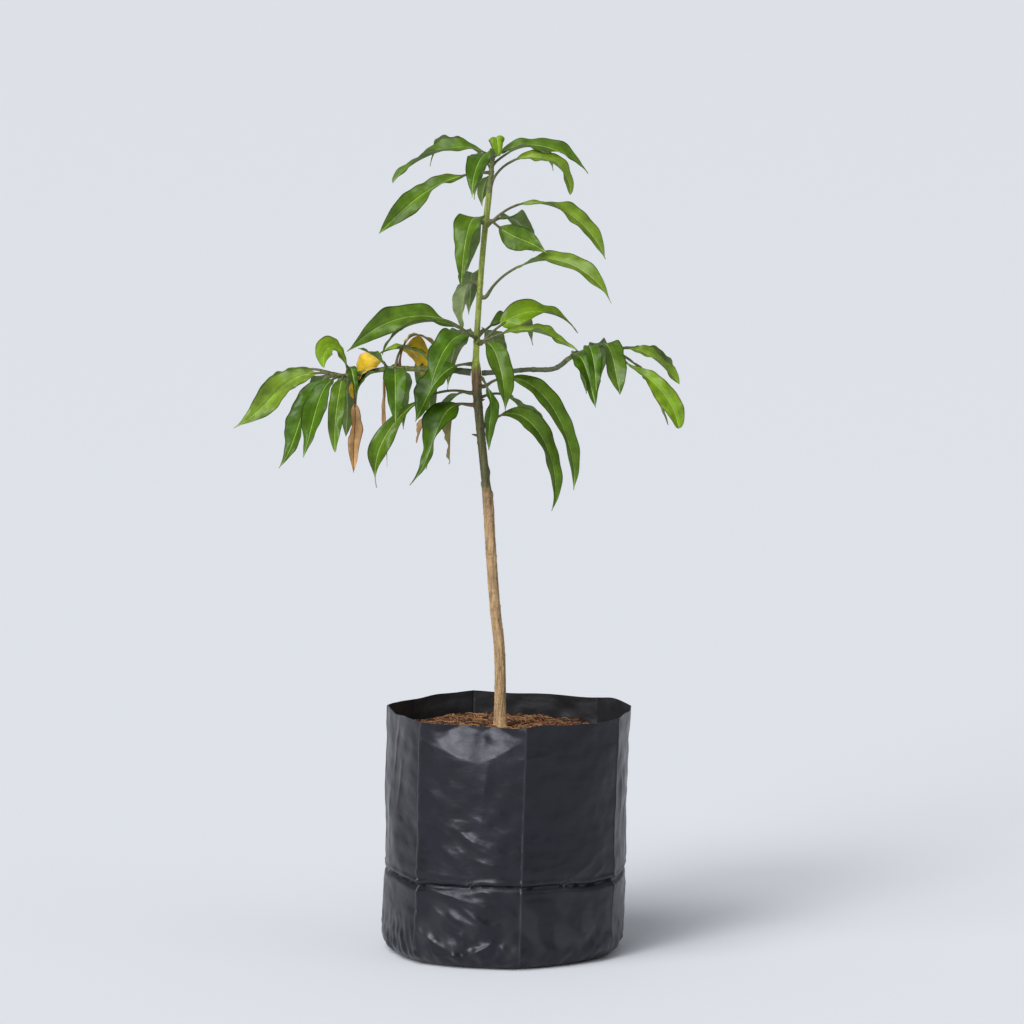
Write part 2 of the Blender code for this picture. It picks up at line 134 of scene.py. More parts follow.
def far_leaves(seed, *rows):
    """Leaves away from the viewer: rows of (along, heading, reach, drop, rise), a little varied."""
    rng = np.random.default_rng(seed)
    return [
        Leaf(
            *place,
            rise + rng.uniform(-4, 4),
            fall=rng.uniform(62, 78),
            width=rng.uniform(22, 27),
            roll=(rng.uniform(-15, 15), rng.uniform(-20, 20)),
            petiole=rng.uniform(0.16, 0.24),
            kind=FAR_KINDS[(seed + count) % 3],
            point=rng.uniform(0.7, 1.5),
        )
        for count, (*place, rise) in enumerate(rows)
    ]


TIP_LEAVES = (
    Leaf(0.9, -177, 107, 26, 45, 58, 27, (-20, -15), 0.08, arch=0.77, point=0.6),
    Leaf(0.5, -164, 124, 63, 0, 42, 28, (-25, -65), 0.18, 0.55, point=0.9),
    Leaf(0.85, -109, 66, 36, 42, 88, 26, petiole=0.1, kind="deep"),
    Leaf(0.3, 115, 22, 30, 40, 85, 14, kind="deep"),
    Leaf(0.95, -72, 19, -1, 87, 88, 21, arch=3.4, kind="lime", curl=-95, point=0.45),
    Leaf(0.9, 3, 102, 17, 42, 56, 24, (25, 30), 0.08, arch=0.85, point=0.8),
    Leaf(0.1, -10, 87, 8, 70, 88, 24, (15, 35), 0.3, arch=1.35, kind="bright", point=0.6),
    *far_leaves(1, (0.75, 133, 99, 7, 34), (0.5, 101, 99, 35, 32), (0.7, 49, 100, 10, 32)),
)
RIGHT_SHOOT_LEAVES = (
    Leaf(0.02, -59, 54, 48, 38, 72, 28, (5, 10), 0.1, kind="deep"),
    Leaf(0.4, -79, 49, 40, 48, 85, 20, petiole=0.12, kind="deep"),
    Leaf(0.65, -64, 49, 46, 42, 74, 30, petiole=0.08, point=0.8),
    Leaf(0.93, 0, 71, 37, 12, 48, 23, (15, 38), 0.12, 0.6, kind="bright", point=0.8),
    Leaf(0.9, -18, 75, 83, -43, 82, 25, (40, 62), 0.12, 0.66, kind="lime", point=0.45),
    *far_leaves(6, (0.1, 78, 76, 47, 20), (0.55, 84, 79, 44, 18)),
    *far_leaves(9, (0.88, 39, 81, 87, -25), (0.95, 30, 76, 37, 8)),
)
LEFT_SHOOT_LEAVES = (
    Leaf(0.04, 175, 58, -16, 72, 28, 18, petiole=0.12, kind="lime"),
    Leaf(0.37, -88, 62, 55, 12, 88, 28, petiole=0.1, belly=0.4, kind="deep"),
    Leaf(0.4, 108, 16, 108, 10, 89, 10, kind="dry", curl=90),
    Leaf(0.44, 163, 37, 33, 80, 86, 33, (-40, -40), arch=1.2, kind="yellow", point=0.6),
    Leaf(0.36, 40, 36, 11, 84, 86, 32, (-25, -25), 0.25, arch=2.3, kind="yellow", point=0.8),
    Leaf(0.33, 25, 47, -16, 86, 52, 13, petiole=0.3, arch=1.9, kind="faded"),
    Leaf(0.42, -148, 38, -24, 45, -20, 14, petiole=0.12, kind="deep"),
    Leaf(0.45, -166, 34, 35, 0, 80, 18, petiole=0.12, kind="deep"),
    Leaf(0.735, -80, 4, 105, -50, 89, 19, petiole=0.3, kind="dry", curl=20, point=0.8),
    Leaf(0.77, -168, 27, -9, 82, 98, 25, (-52, -40), 0.1, 0.6, 2.9, "lime", point=0.6),
    Leaf(0.79, -55, 17, 22, 84, 89, 12, petiole=0.15, arch=2.0, kind="deep"),
    Leaf(0.81, -98, 59, 76, 0, 87, 20, petiole=0.14, point=0.6),
    Leaf(0.82, -134, 60, 83, 0, 60, 29, (-15, -15), 0.14, kind="deep"),
    Leaf(0.88, -160, 65, 98, -12, 48, 29, (-35, -45), 0.12, kind="deep"),
    Leaf(0.95, -173, 102, 58, 5, 30, 33, (-50, -65), 0.1, kind="bright"),
    *far_leaves(7, (0.9, 155, 88, 46, 20), (0.85, 119, 84, 82, 10), (0.75, 96, 79, 74, 15)),
    *far_leaves(8, (0.4, 82, 83, 74, 15), (0.15, 84, 89, 67, 20)),
)

# Masses of leaves on the trunk: (height, compass heading of the spur, leaves)
TRUNK_MASSES = {
    "upper_left_leaves": (788, -150, [
        Leaf(0, -112, 52, 63, 42, 86, 32, petiole=0.1, belly=0.35, arch=1.05),
    ]),
    "upper_right_leaves": (789, -12, [
        Leaf(0, -4, 121, 40, 46, 66, 26, (15, 50), belly=0.62, arch=1.1, kind="bright", point=1.4),
        Leaf(0, -32, 68, 31, -38, 30, 30, (72, 78), 0.12),
    ]),
    "upper_back_leaves": (782, 80, far_leaves(2, (0, 103, 95, 54, 35), (0, 57, 94, 32, 30))),
    "middle_left_leaves": (723, 135, [
        Leaf(0, 137, 20, 54, 20, 86, 25, petiole=0.12, kind="dull"),
        *far_leaves(3, (0, 95, 95, 42, 32)),
    ]),
    "middle_right_leaves": (708, -15, [
        Leaf(0, -24, 146, 2, 58, 64, 28, (12, 35), 0.26, arch=1.06, kind="bright"),
    ]),
    "whorl_left_leaves": (667, -165, [Leaf(0, -159, 140, 13, 40, 40, 33, (-12, -98), 0.17)]),
    "whorl_front_leaves": (665, -112, [
        Leaf(0, -125, 80, 48, 22, 68, 33, (-10, -10), 0.1, kind="deep"),
    ]),
    "whorl_right_leaves": (660, 5, [
        Leaf(0, 6, 102, -8, 50, 56, 30, (80, -20), belly=0.35, arch=1.04, kind="lime"),
        Leaf(0, -11, 104, 9, 29, 32, 24, (16, 22), 0.18, kind="bright"),
    ]),
    "whorl_hanging_leaf": (658, -50, [
        Leaf(0, -65, 62, 67, 20, 88, 28, (12, -12), petiole=0.12, belly=0.5),
    ]),
    "whorl_back_leaves": (662, 90, far_leaves(
        4, (0, 161, 108, 20, 34), (0, 108, 105, 64, 30), (0, 73, 99, 68, 30), (0, 54, 103, 14, 30)
    )),
    "node_left_leaf": (636, -160, [
        Leaf(0, -162, 60, 60, 2, 60, 38, (-30, -30), 0.14, 0.45, kind="deep"),
    ]),
    "node_hanging_leaf": (621, -50, [
        Leaf(0, -58, 14, 76, -30, 89, 17, petiole=0.15, belly=0.5, kind="deep"),
    ]),
    "lower_left_leaf": (605, -170, [
        Leaf(0, -168, 101, 100, 18, 104, 25, (-45, -80), belly=0.64, arch=0.92, point=3.4),
    ]),
    "lowest_left_leaves": (592, -178, [
        Leaf(0, -159, 69, 84, 14, 40, 38, (-32, -18), 0.12, 0.36, kind="deep", point=2.2),
        Leaf(0, 160, 24, 65, 15, 86, 12, petiole=0.25, kind="faded", curl=60),
        Leaf(0, 164, 60, 43, 10, 80, 9, petiole=0.55, kind="dry", curl=60),
    ]),
    "lower_right_leaf": (612, 5, [Leaf(0, -1, 95, 112, 38, 98, 27, (35, 60), 0.18)]),
    "lowest_right_leaf": (569, 0, [Leaf(0, 8, 69, 93, 52, 110, 26, (40, 75), 0.12, arch=1.2)]),
    "lower_back_leaves": (598, 78, far_leaves(5, (0, 133, 86, 84, 25), (0, 36, 97, 83, 25))),
}

# The photograph's camera: 6 m in front of the trunk, tilted down a little
CAMERA_PLACE = (0.01075, -6.0, 1.187)
CAMERA_TILT_DOWN = 6.75676
CAMERA_FIELD = 10.4101  # degrees
SENSOR_WIDTH = 36.0

WRINKLE_HEIGHT = 1.6


def linear(hex_colour):
    """Linear red, green and blue of an sRGB hex colour such as #6b4a2f."""
    shares = np.array([int(hex_colour[i : i + 2], 16) for i in (1, 3, 5)]) / 255
    turned = np.where(shares <= 0.04045, shares / 12.92, ((shares + 0.055) / 1.055) ** 2.4)
    return tuple(turned.tolist())


def colour(name, description, hex_colour):
    default = linear(hex_colour)
    about = {"name": name, "description": description, "subtype": "COLOR"}
    return FloatVectorProperty(default=default, size=3, min=0, max=1, **about)


def length(name, description, millimetres):
    about = {"name": name, "description": description, "subtype": "DISTANCE"}
    return FloatProperty(default=millimetres * MM, min=0, unit="LENGTH", **about)


class GrowBagSettings(bpy.types.PropertyGroup):
    film: colour("Film", "Colour of the black film", "#0d0d13")
    # This colour is also painted as highlights down the creases and as painted light over the inside
    # of the bag
    dust: colour("Dust", "Colour of the dried dust round the drain holes", "#8b8a86")
    wall: length("Wall", "Thickness drawn for the film at the rim", 0.9)
    wrinkle: length("Wrinkle height", "How far the film's wrinkles stand out", WRINKLE_HEIGHT)


class PottingMixSettings(bpy.types.PropertyGroup):
    coir: colour("Coir", "Colour of the coir crumb", "#65412c")
    # partly painted shade: the dark crumbs darken the mix as the shadows in the gaps between crumbs
    # would, and the bed under the crumbs takes this colour too
    peat: colour("Peat", "Colour of the dark crumbs between", "#38241a")
    fibre: colour("Fibre", "Colour of the loose coir fibres", "#b98a5a")
    crumb: length("Crumb size", "Width of a middling crumb", 3.6)


class BarkSettings(bpy.types.PropertyGroup):
    rootstock: colour("Rootstock", "Colour of the old bark below the graft", "#aa8c66")
    scion: colour("Scion", "Colour of the olive bark above the graft", "#545334")
    green: colour("Green bark", "Colour of the trunk's last year of growth", "#98a64c")
    bough: colour("Boughs", "Colour of the boughs' bark", "#545a3e")
    shoot: colour("Leafy shoots", "Colour of the stems among the leaves", "#6c7442")
    stalk: colour("Leaf stalks", "Colour of the green leaves' stalks", "#5f613a")
    dried_stalk: colour("Dried stalks", "Colour of the dried leaves' stalks", "#6a4a34")
    scale: colour("Bud scales", "Colour of the bud scales and stubs", "#5a5236")
    relief: length("Relief", "Depth of the bark's furrows", 0.45)


class LeafSettings(bpy.types.PropertyGroup):
    deep: colour("Deep green", "Top of the darkest leaves", "#43640a")
    mature: colour("Mature green", "Top of a grown leaf", "#4f6c15")
    bright: colour("Bright green", "Top of a younger leaf", "#6a8424")
    # partly painted light: besides the young leaf's own paler green, this colour paints in the glow of
    # light shining through the blade
    lime: colour("Lime green", "Top of a young leaf that the light shines through", "#6f9014")
    lime_margin: colour("Young margin", "The brownish margin of a young leaf", "#5f5c22")
    dull: colour("Dull bloom", "A leaf under a grey bloom", "#8b9b68")
    underside: colour("Underside", "The dull lower face of a leaf", "#677d41")
    midrib: colour("Midrib", "The pale rib along the middle", "#9db065")
    yellow: colour("Yellow", "A leaf about to fall", "#cfad24")
    faded: colour("Faded olive", "A leaf part way to dry", "#a09660")
    tan: colour("Dried tan", "Dried leaf", "#cba26f")
    brown: colour("Dried brown", "The brown margins and dead patches", "#6b4a2a")
    wave: length("Margin wave", "How far the margins wave up and down", 1.8)


class StageSettings(bpy.types.PropertyGroup):
    floor: colour("Floor", "Colour of the plain floor", "#e9ecf2")
    key: FloatProperty(name="Key light", description="Strength of the soft key light", default=1.75)
    window: FloatProperty(name="Window light", description="Strength of the low light", default=1.5)
    fill: FloatProperty(name="Fill light", description="Strength of the sky", default=0.31)


class MangoTreeSettings(bpy.types.PropertyGroup):
    bag: PointerProperty(type=GrowBagSettings)
    mix: PointerProperty(type=PottingMixSettings)
    bark: PointerProperty(type=BarkSettings)
    leaf: PointerProperty(type=LeafSettings)
    stage: PointerProperty(type=StageSettings)


# The source's rule for limbs and leaves


def compass(heading, elevation):
    """The unit vector at a compass heading and an elevation, both in degrees."""
    around, up = math.radians(heading), math.radians(elevation)
    return np.array((math.cos(up) * math.cos(around), math.cos(up) * math.sin(around), math.sin(up)))


def limb_axis(knots):
    """A smooth curve through the knots (a cubic from knot to knot whose slope at each is half
    the step between its neighbours): its points, their distance along it and their radii."""
    knots = np.array(knots, float)
    ends = np.vstack([2 * knots[0] - knots[1], knots, 2 * knots[-1] - knots[-2]])
    steps = np.linspace(0, 1, 48, endpoint=False)[:, None]
    pieces = []
    for before, start, end, after in zip(ends, ends[1:], ends[2:], ends[3:]):
        slope_in, slope_out = (end - before) / 2, (after - start) / 2
        pieces.append(
            (2 * steps**3 - 3 * steps**2 + 1) * start
            + (steps**3 - 2 * steps**2 + steps) * slope_in
            + (3 * steps**2 - 2 * steps**3) * end
            + (steps**3 - steps**2) * slope_out
        )
    curve = np.vstack([*pieces, knots[-1:]])
    hops = np.linalg.norm(np.diff(curve[:, :3], axis=0), axis=1)
    return curve[:, :3], np.concatenate([[0], np.cumsum(hops)]), curve[:, 3] / 2


def along_axis(axis, distance):
    """Points and radii at distances along a limb."""
    points, distances, radii = axis
    place = np.stack([np.interp(distance, distances, points[:, i]) for i in range(3)], -1)
    return place, np.interp(distance, distances, radii)


def leaf_curve(root, leaf, shares):
    """Points and directions on the leaf's midrib: a cubic from its root to its tip, which
    leaves the root at `rise` and meets the tip at `fall`."""
    tip = root + leaf.reach * compass(leaf.heading, 0) - (0, 0, leaf.drop)
    handle = HANDLE * leaf.arch * np.linalg.norm(tip - root)
    first = root + handle * compass(leaf.heading, leaf.rise)
    last = tip - handle * compass(leaf.heading, -leaf.fall)
    t = np.asarray(shares, float)[:, None]
    u = 1 - t
    points = u**3 * root + 3 * t * u**2 * first + 3 * t**2 * u * last + t**3 * tip
    slopes = u**2 * (first - root) + 2 * t * u * (last - first) + t**2 * (tip - last)
    return points, slopes / np.linalg.norm(slopes, axis=1, keepdims=True)


def blade_half_width(leaf, share):
    """Half the blade's width: a long oval, widest at `belly`, to a power that runs from 0.7 at
    its foot to the leaf's `point` at its tip."""
    lean = math.log(0.5) / math.log(leaf.belly)
    oval = np.sin(math.pi * np.clip(share, 0, 1) ** lean)
    return leaf.width / 2 * np.clip(oval, 0, 1) ** (0.7 + (leaf.point - 0.7) * share)


def flared_leader():
    """The leader, thicker at its foot: the flare dies away up the trunk."""
    points, distances, radii = limb_axis(LEADER)
    return points, distances, radii + ROOT_FLARE / 2 * np.exp(-distances / ROOT_FLARE_HEIGHT)


def distance_at_height(axis, height):
    return float(np.interp(height, axis[0][:, 2], axis[1]))


# Surfaces


RIPPLE_WAVES = 24


def ripple(points, size, seed):
    """Smooth noise, mostly from -1 to 1: the sum of sine waves in random directions, each
    about `size` long, over 1.6 times the square root of half their number."""
    rng = np.random.default_rng(seed)
    turns = rng.normal(size=(3, RIPPLE_WAVES)) * (2 * math.pi / size / math.sqrt(3))
    phases = rng.uniform(0, 2 * math.pi, RIPPLE_WAVES)
    return np.sin(points @ turns + phases).sum(-1) / math.sqrt(RIPPLE_WAVES / 2) / 1.6


def circle_turns(count):
    """A row of angles, in radians, evenly round a circle."""
    return np.linspace(0, 2 * math.pi, count, endpoint=False)[None, :]


def bell(offset, width):
    """A bell curve, which falls from one to about a third at `width`."""
    return np.exp(-((offset / width) ** 2))


def away(heading, other, radius=BAG_RADIUS):
    """How far one heading is from another, in millimetres round a circle."""
    return np.radians((heading - other + 180) % 360 - 180) * radius


def on_stem(angle, height, radius):
    """Places on a round stem, where noise closes round it: (cosine, sine, height)."""
    return np.stack(np.broadcast_arrays(radius * np.cos(angle), radius * np.sin(angle), height), -1)


def rings_along(points, radii, sides, reference):
    """Circles square to a path: each point plus its radius times a unit vector that turns
    from the side nearest to `reference` round the path. Radii are (rows) or (rows, sides)."""
    directions = np.gradient(points, axis=0)
    directions /= np.linalg.norm(directions, axis=1, keepdims=True)
    side = reference - (directions @ reference)[:, None] * directions
    side /= np.linalg.norm(side, axis=1, keepdims=True)
    back = np.cross(directions, side)
    turns = circle_turns(sides)[..., None]
    circle = np.cos(turns) * side[:, None] + np.sin(turns) * back[:, None]
    return points[:, None] + np.reshape(radii, (len(points), -1, 1)) * circle


class Gathered:
    """The points and faces of one mesh, gathered from closed tubes and loose solids."""

    def __init__(self):
        self.points, self.corners, self.sizes, self.finishes = [], [], [], []
        self.count = 0

    def put(self, points, *faces_and_finishes):
        for faces, finishes in faces_and_finishes:
            self.corners.append((faces + self.count).reshape(-1))
            self.sizes.append(np.full(len(faces), faces.shape[1]))
            self.finishes.append(finishes)
        self.points.append(points)
        self.count += len(points)
        return self

    def tube(self, rings, finish=0):
        """A closed skin over rings (rows, sides, 3): quads between neighbouring rings, and
        triangles from each end ring to its middle. `finish` is one number or (rows - 1, sides)."""
        rows, sides = rings.shape[:2]
        side = np.arange(sides)
        after = (side + 1) % sides
        low = np.arange(rows - 1)[:, None] * sides
        high = low + sides
        quads = np.stack([low + side, low + after, high + after, high + side], -1).reshape(-1, 4)
        last, middle = (rows - 1) * sides, np.full(sides, rows * sides)
        foot = np.stack([after, side, middle], 1)
        head = np.stack([last + side, last + after, middle + 1], 1)
        points = np.vstack([rings.reshape(-1, 3), rings[[0, -1]].mean(axis=1)])
        finishes = np.broadcast_to(finish, (rows - 1, sides))
        skin = (quads, finishes.reshape(-1))
        return self.put(points, skin, (foot, finishes[0]), (head, finishes[-1]))

    def solids(self, points, triangles, finishes):
        """Many like solids: points (count, corners, 3) with the same triangles in each."""
        count, corners = points.shape[:2]
        faces = (triangles[None] + np.arange(count)[:, None, None] * corners).reshape(-1, 3)
        return self.put(points.reshape(-1, 3), (faces, np.repeat(finishes, len(triangles))))

    def build(self, name, materials, sharp_angle=50):
        """One mesh object, smooth but for edges sharper than `sharp_angle` degrees."""
        points, sizes = np.vstack(self.points), np.concatenate(self.sizes)
        corners, finishes = np.concatenate(self.corners), np.concatenate(self.finishes)
        mesh = bpy.data.meshes.new(name)
        mesh.vertices.add(len(points))
        mesh.vertices.foreach_set("co", (points * MM).astype(np.float32).reshape(-1))
        mesh.loops.add(len(corners))
        mesh.loops.foreach_set("vertex_index", corners.astype(np.int32))
        mesh.polygons.add(len(sizes))
        mesh.polygons.foreach_set("loop_start", (np.cumsum(sizes) - sizes).astype(np.int32))
        mesh.polygons.foreach_set("material_index", finishes.astype(np.int32))
        mesh.update(calc_edges=True)
        if mesh.validate():
            raise RuntimeError(f"{name} has a face that isn't valid")
        for material in materials:
            mesh.materials.append(material)
        mesh.shade_smooth()
        mesh.set_sharp_from_angle(angle=math.radians(sharp_angle))
        obj = bpy.data.objects.new(name, mesh)
        bpy.context.scene.collection.objects.link(obj)
        return obj


def place(obj, slot, *replaced):
    """The piece moves with the whole plant and stands for the solids that it replaces; its slot is not
    used."""
    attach(obj, "root")
    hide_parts(*replaced)


# Materials


def per_mm(size):
    """A pattern's scale in Blender, whose unit is the metre, for features `size` mm wide."""
    return 1 / (size * MM)


def shade(base, factor):
    """The same colour, darker or lighter."""
    return tuple(min(1.0, c * factor) for c in base)


def add_node(tree, kind, links=None, values=None, stops=None, **settings):
    """Adds a node: settings are its properties, values its sockets' numbers, links the
    outputs that feed its sockets, and stops a ramp's (place, colour) pairs."""
    node = tree.nodes.new(kind)
    for name, value in settings.items():
        setattr(node, name, value)
    for socket, value in (values or {}).items():
        node.inputs[socket].default_value = value
    for socket, source in (links or {}).items():
        tree.links.new(source, node.inputs[socket])
    if stops:
        ramp = node.color_ramp.elements
        while len(ramp) < len(stops):
            ramp.new(0.5)
        for element, (position, tone) in zip(ramp, stops):
            element.position = position
            element.color = (*tone, 1)
    return node


def start_material(name, base, roughness, noises, ior=1.45, relief=None, **sockets):
    """A material with a Principled shader: its tree, its shader, its Object coordinates and its
    layers of noise. Each layer is (width in mm, how much it is squeezed in height, detail,
    roughness), and `relief` is (a layer's number, its depth in mm, its strength). The usual
    refractive index, 1.45, is near that of wax, wood and soil."""
    material = bpy.data.materials.new(name)
    material.use_nodes = True
    tree = material.node_tree
    shader = tree.nodes["Principled BSDF"]
    shader.inputs["Base Color"].default_value = (*base, 1)
    shader.inputs["Roughness"].default_value = roughness
    shader.inputs["IOR"].default_value = ior
    for socket, value in sockets.items():
        shader.inputs[socket.replace("_", " ")].default_value = value
    coords = add_node(tree, "ShaderNodeTexCoord").outputs["Object"]
    layers = []
    for width, squeeze, detail, coarse in noises:
        turned = add_node(tree, "ShaderNodeMapping", {"Vector": coords}, {"Scale": (1, 1, squeeze)})
        values = {"Scale": per_mm(width), "Detail": detail, "Roughness": coarse}
        noise = add_node(tree, "ShaderNodeTexNoise", {"Vector": turned.outputs[0]}, values)
        layers.append(noise.outputs["Fac"])
    if relief:
        layer, depth, strength = relief
        values = {"Distance": depth * MM, "Strength": strength}
        bump = add_node(tree, "ShaderNodeBump", {"Height": layers[layer]}, values)
        tree.links.new(bump.outputs[0], shader.inputs["Normal"])
    return material, tree, shader, coords, layers


# A skin: its two layers of noise, the dark and the light (place, factor) that the first gives its
# colour, and the depth in mm and the strength of the relief that the second gives it
Skin = namedtuple("Skin", "patches grain dark light depth strength")
# Composted coir pith: matt crumbs, each a little lighter or darker than the next
COIR = Skin((2.2, 1, 4, 0.55), (0.9, 1, 4, 0.55), (0.3, 0.55), (0.7, 1.5), 0.5, 1.0)
# The thin living bark of a young shoot: smooth, a little waxy, with faint patches
YOUNG_BARK = Skin((3.5, 1, 4, 0.55), (1.2, 1, 4, 0.55), (0.3, 0.62), (0.72, 1.35), 0.2, 0.6)
# A leaf's leathery skin, with a mottle of lighter and darker cells
LEAF_SKIN = Skin((13, 1, 3, 0.55), (1.5, 1, 4, 0.55), (0.3, 0.68), (0.7, 1.3), 0.1, 0.5)


def skin_material(name, skin, base, roughness, **sockets):
    """A plant's or the mix's skin: patches that darken and lighten its colour, and a fine relief."""
    relief = (1, skin.depth, skin.strength)
    material, tree, shader, _, layers = start_material(
        name, base, roughness, (skin.patches, skin.grain), relief=relief, **sockets
    )
    stops = [(position, shade(base, factor)) for position, factor in (skin.dark, skin.light)]
    tone = add_node(tree, "ShaderNodeValToRGB", {"Fac": layers[0]}, stops=stops)
    tree.links.new(tone.outputs[0], shader.inputs["Base Color"])
    return material


def leaf_face(name, base, roughness, gloss):
    """One face of a leaf: its thin wax cuticle gives it a soft whitish sheen."""
    wax = {"Specular_IOR_Level": 0.25, "Coat_Weight": gloss, "Coat_Roughness": 0.25}
    return skin_material(name, LEAF_SKIN, base, roughness, **wax)


# The film's bloom, its crumpling, and its fine scratches down the wall
FILM_NOISES = ((26, 1, 4, 0.55), (24, 1.8, 2, 0.4), (1.6, 0.35, 4, 0.55))


def black_polythene_film(settings):
    """Blown low-density polythene, black with carbon: a soft gloss with a grey bloom, broken by the
    film's crumpling and its fine scratches. A pale colour is mixed in by an attribute: dust where
    water has dried, and painted light, as highlights down the creases and a thin grey over the shaded
    inside."""
    material, tree, shader, _, (bloom, crumple, scratches) = start_material(
        "black_polythene_film", settings.film, 0.34, FILM_NOISES, 1.51, Specular_IOR_Level=0.42
    )
    shader.inputs["Specular Tint"].default_value = (0.86, 0.88, 1.0, 1)
    stops = ((0.35, shade(settings.film, 0.7)), (0.7, shade(settings.film, 1.7)))
    tone = add_node(tree, "ShaderNodeValToRGB", {"Fac": bloom}, stops=stops)
    # the mask holds dust, painted highlights down the creases and painted light over the inside
    dust = add_node(tree, "ShaderNodeAttribute", attribute_name="dust")
    links = {0: dust.outputs["Fac"], 6: tone.outputs[0]}
    dust_and_painted_light_mix = add_node(tree, "ShaderNodeMix", links, {7: (*settings.dust, 1)}, data_type="RGBA")
    tree.links.new(dust_and_painted_light_mix.outputs[2], shader.inputs["Base Color"])
    values = {"From Min": 0.3, "From Max": 0.7, "To Min": 0.28, "To Max": 0.44}
    gloss = add_node(tree, "ShaderNodeMapRange", {"Value": bloom}, values)
    tree.links.new(gloss.outputs[0], shader.inputs["Roughness"])
    links = {0: scratches, 2: crumple}
    heights = add_node(tree, "ShaderNodeMath", links, {1: 0.03}, operation="MULTIPLY_ADD")
    values = {"Distance": 2.0 * MM, "Strength": 0.6}
    relief = add_node(tree, "ShaderNodeBump", {"Height": heights.outputs[0]}, values)
    tree.links.new(relief.outputs[0], shader.inputs["Normal"])
    return material


# The trunk's bark by height: which colour, and how dark or light it is there
BARK_ZONES = (
    (251, "rootstock", 1.1),
    (467, "rootstock", 1.0),
    (509, "rootstock", 0.7),
    (516.2, "scion", 1.1),
    (611, "scion", 1.0),
    (626, "rootstock", 0.55),
    (636.8, "rootstock", 0.6),
    (644, "green", 1.35),
    (668, "green", 1.45),
    (675.8, "green", 0.4),
    (695, "green", 0.85),
    (791, "green", 0.95),
    (800, "green", 0.6),
    (815, "green", 0.85),
)
BARK_ZONES_HEIGHT = 600.0
ZONE_RAGGEDNESS = 22.0
# Its streaks along the grain, its fine grain, its dark specks, and the patches that make the
# zones' edges ragged
BARK_NOISES = ((2.6, 0.12, 4, 0.55), (1.1, 1, 4, 0.55), (3.2, 0.7, 4, 0.7), (14, 0.6, 4, 0.55))
# How the first three darken and lighten the colour: (noise from, to, factor from, to)
BARK_TONES = ((0.3, 0.7, 0.52, 1.4), (0.3, 0.7, 0.72, 1.25), (0.34, 0.44, 0.5, 1.0))


def trunk_bark_material(settings):
    """Bark by height: corky and buff on the rootstock, olive above the graft, and smooth and
    green on the last year's wood, with streaks along the grain and brown scars at each node."""
    material, tree, shader, coords, (*layers, patches) = start_material(
        "rootstock_and_scion_bark", settings.rootstock, 0.78, BARK_NOISES, relief=(0, 0.5, 0.7)
    )
    split = add_node(tree, "ShaderNodeSeparateXYZ", {"Vector": coords})
    links, ragged = {0: patches, 2: split.outputs["Z"]}, {1: ZONE_RAGGEDNESS * MM}
    shifted = add_node(tree, "ShaderNodeMath", links, ragged, operation="MULTIPLY_ADD")
    foot = BARK_ZONES[0][0]
    values = {"From Min": foot * MM, "From Max": (foot + BARK_ZONES_HEIGHT) * MM}
    height = add_node(tree, "ShaderNodeMapRange", {"Value": shifted.outputs[0]}, values)
    stops = [
        ((level - foot) / BARK_ZONES_HEIGHT, shade(getattr(settings, bark), factor))
        for level, bark, factor in BARK_ZONES
    ]
    zones = add_node(tree, "ShaderNodeValToRGB", {"Fac": height.outputs[0]}, stops=stops)
    tone = zones.outputs[0]
    for layer, (low, high, dark, light) in zip(layers, BARK_TONES):
        values = {"From Min": low, "From Max": high, "To Min": dark, "To Max": light}
        factor = add_node(tree, "ShaderNodeMapRange", {"Value": layer}, values)
        links = {0: tone, "Scale": factor.outputs[0]}
        tone = add_node(tree, "ShaderNodeVectorMath", links, operation="SCALE").outputs[0]
    tree.links.new(tone, shader.inputs["Base Color"])
    return material


# The grow bag

BAG_AROUND = 470
BAG_FOOT_ROWS = 14
BAG_WALL_ROWS = 150
# The rim waves up and down: how far, the height from which it does, and where it is worked out
RIM_WAVE = 1.6
RIM_WAVE_FOOT = 200.0
RIM_WAVE_TOP = 250.0
SOIL_COVER = 14.0  # how far below the mix's level the inner wall is still drawn in full
SUNK_HEIGHTS = (205.0, 120.0, 30.0)  # the rings of the inner wall inside the mix
SUNK_INSET = 9.0
DRAIN_HOLES = ((-106, 90), (-59, 92), (30, 90), (75, 91), (125, 89), (178, 90))  # (heading, height)
# Folds along the waist's line: (height above it, reach up and down, rise)
WAIST_PLEAT = ((4.5, 3.0, 2.0), (0, 2.0, -2.2), (-5.5, 4.5, 1.4))
CREASE_RISE = 0.6
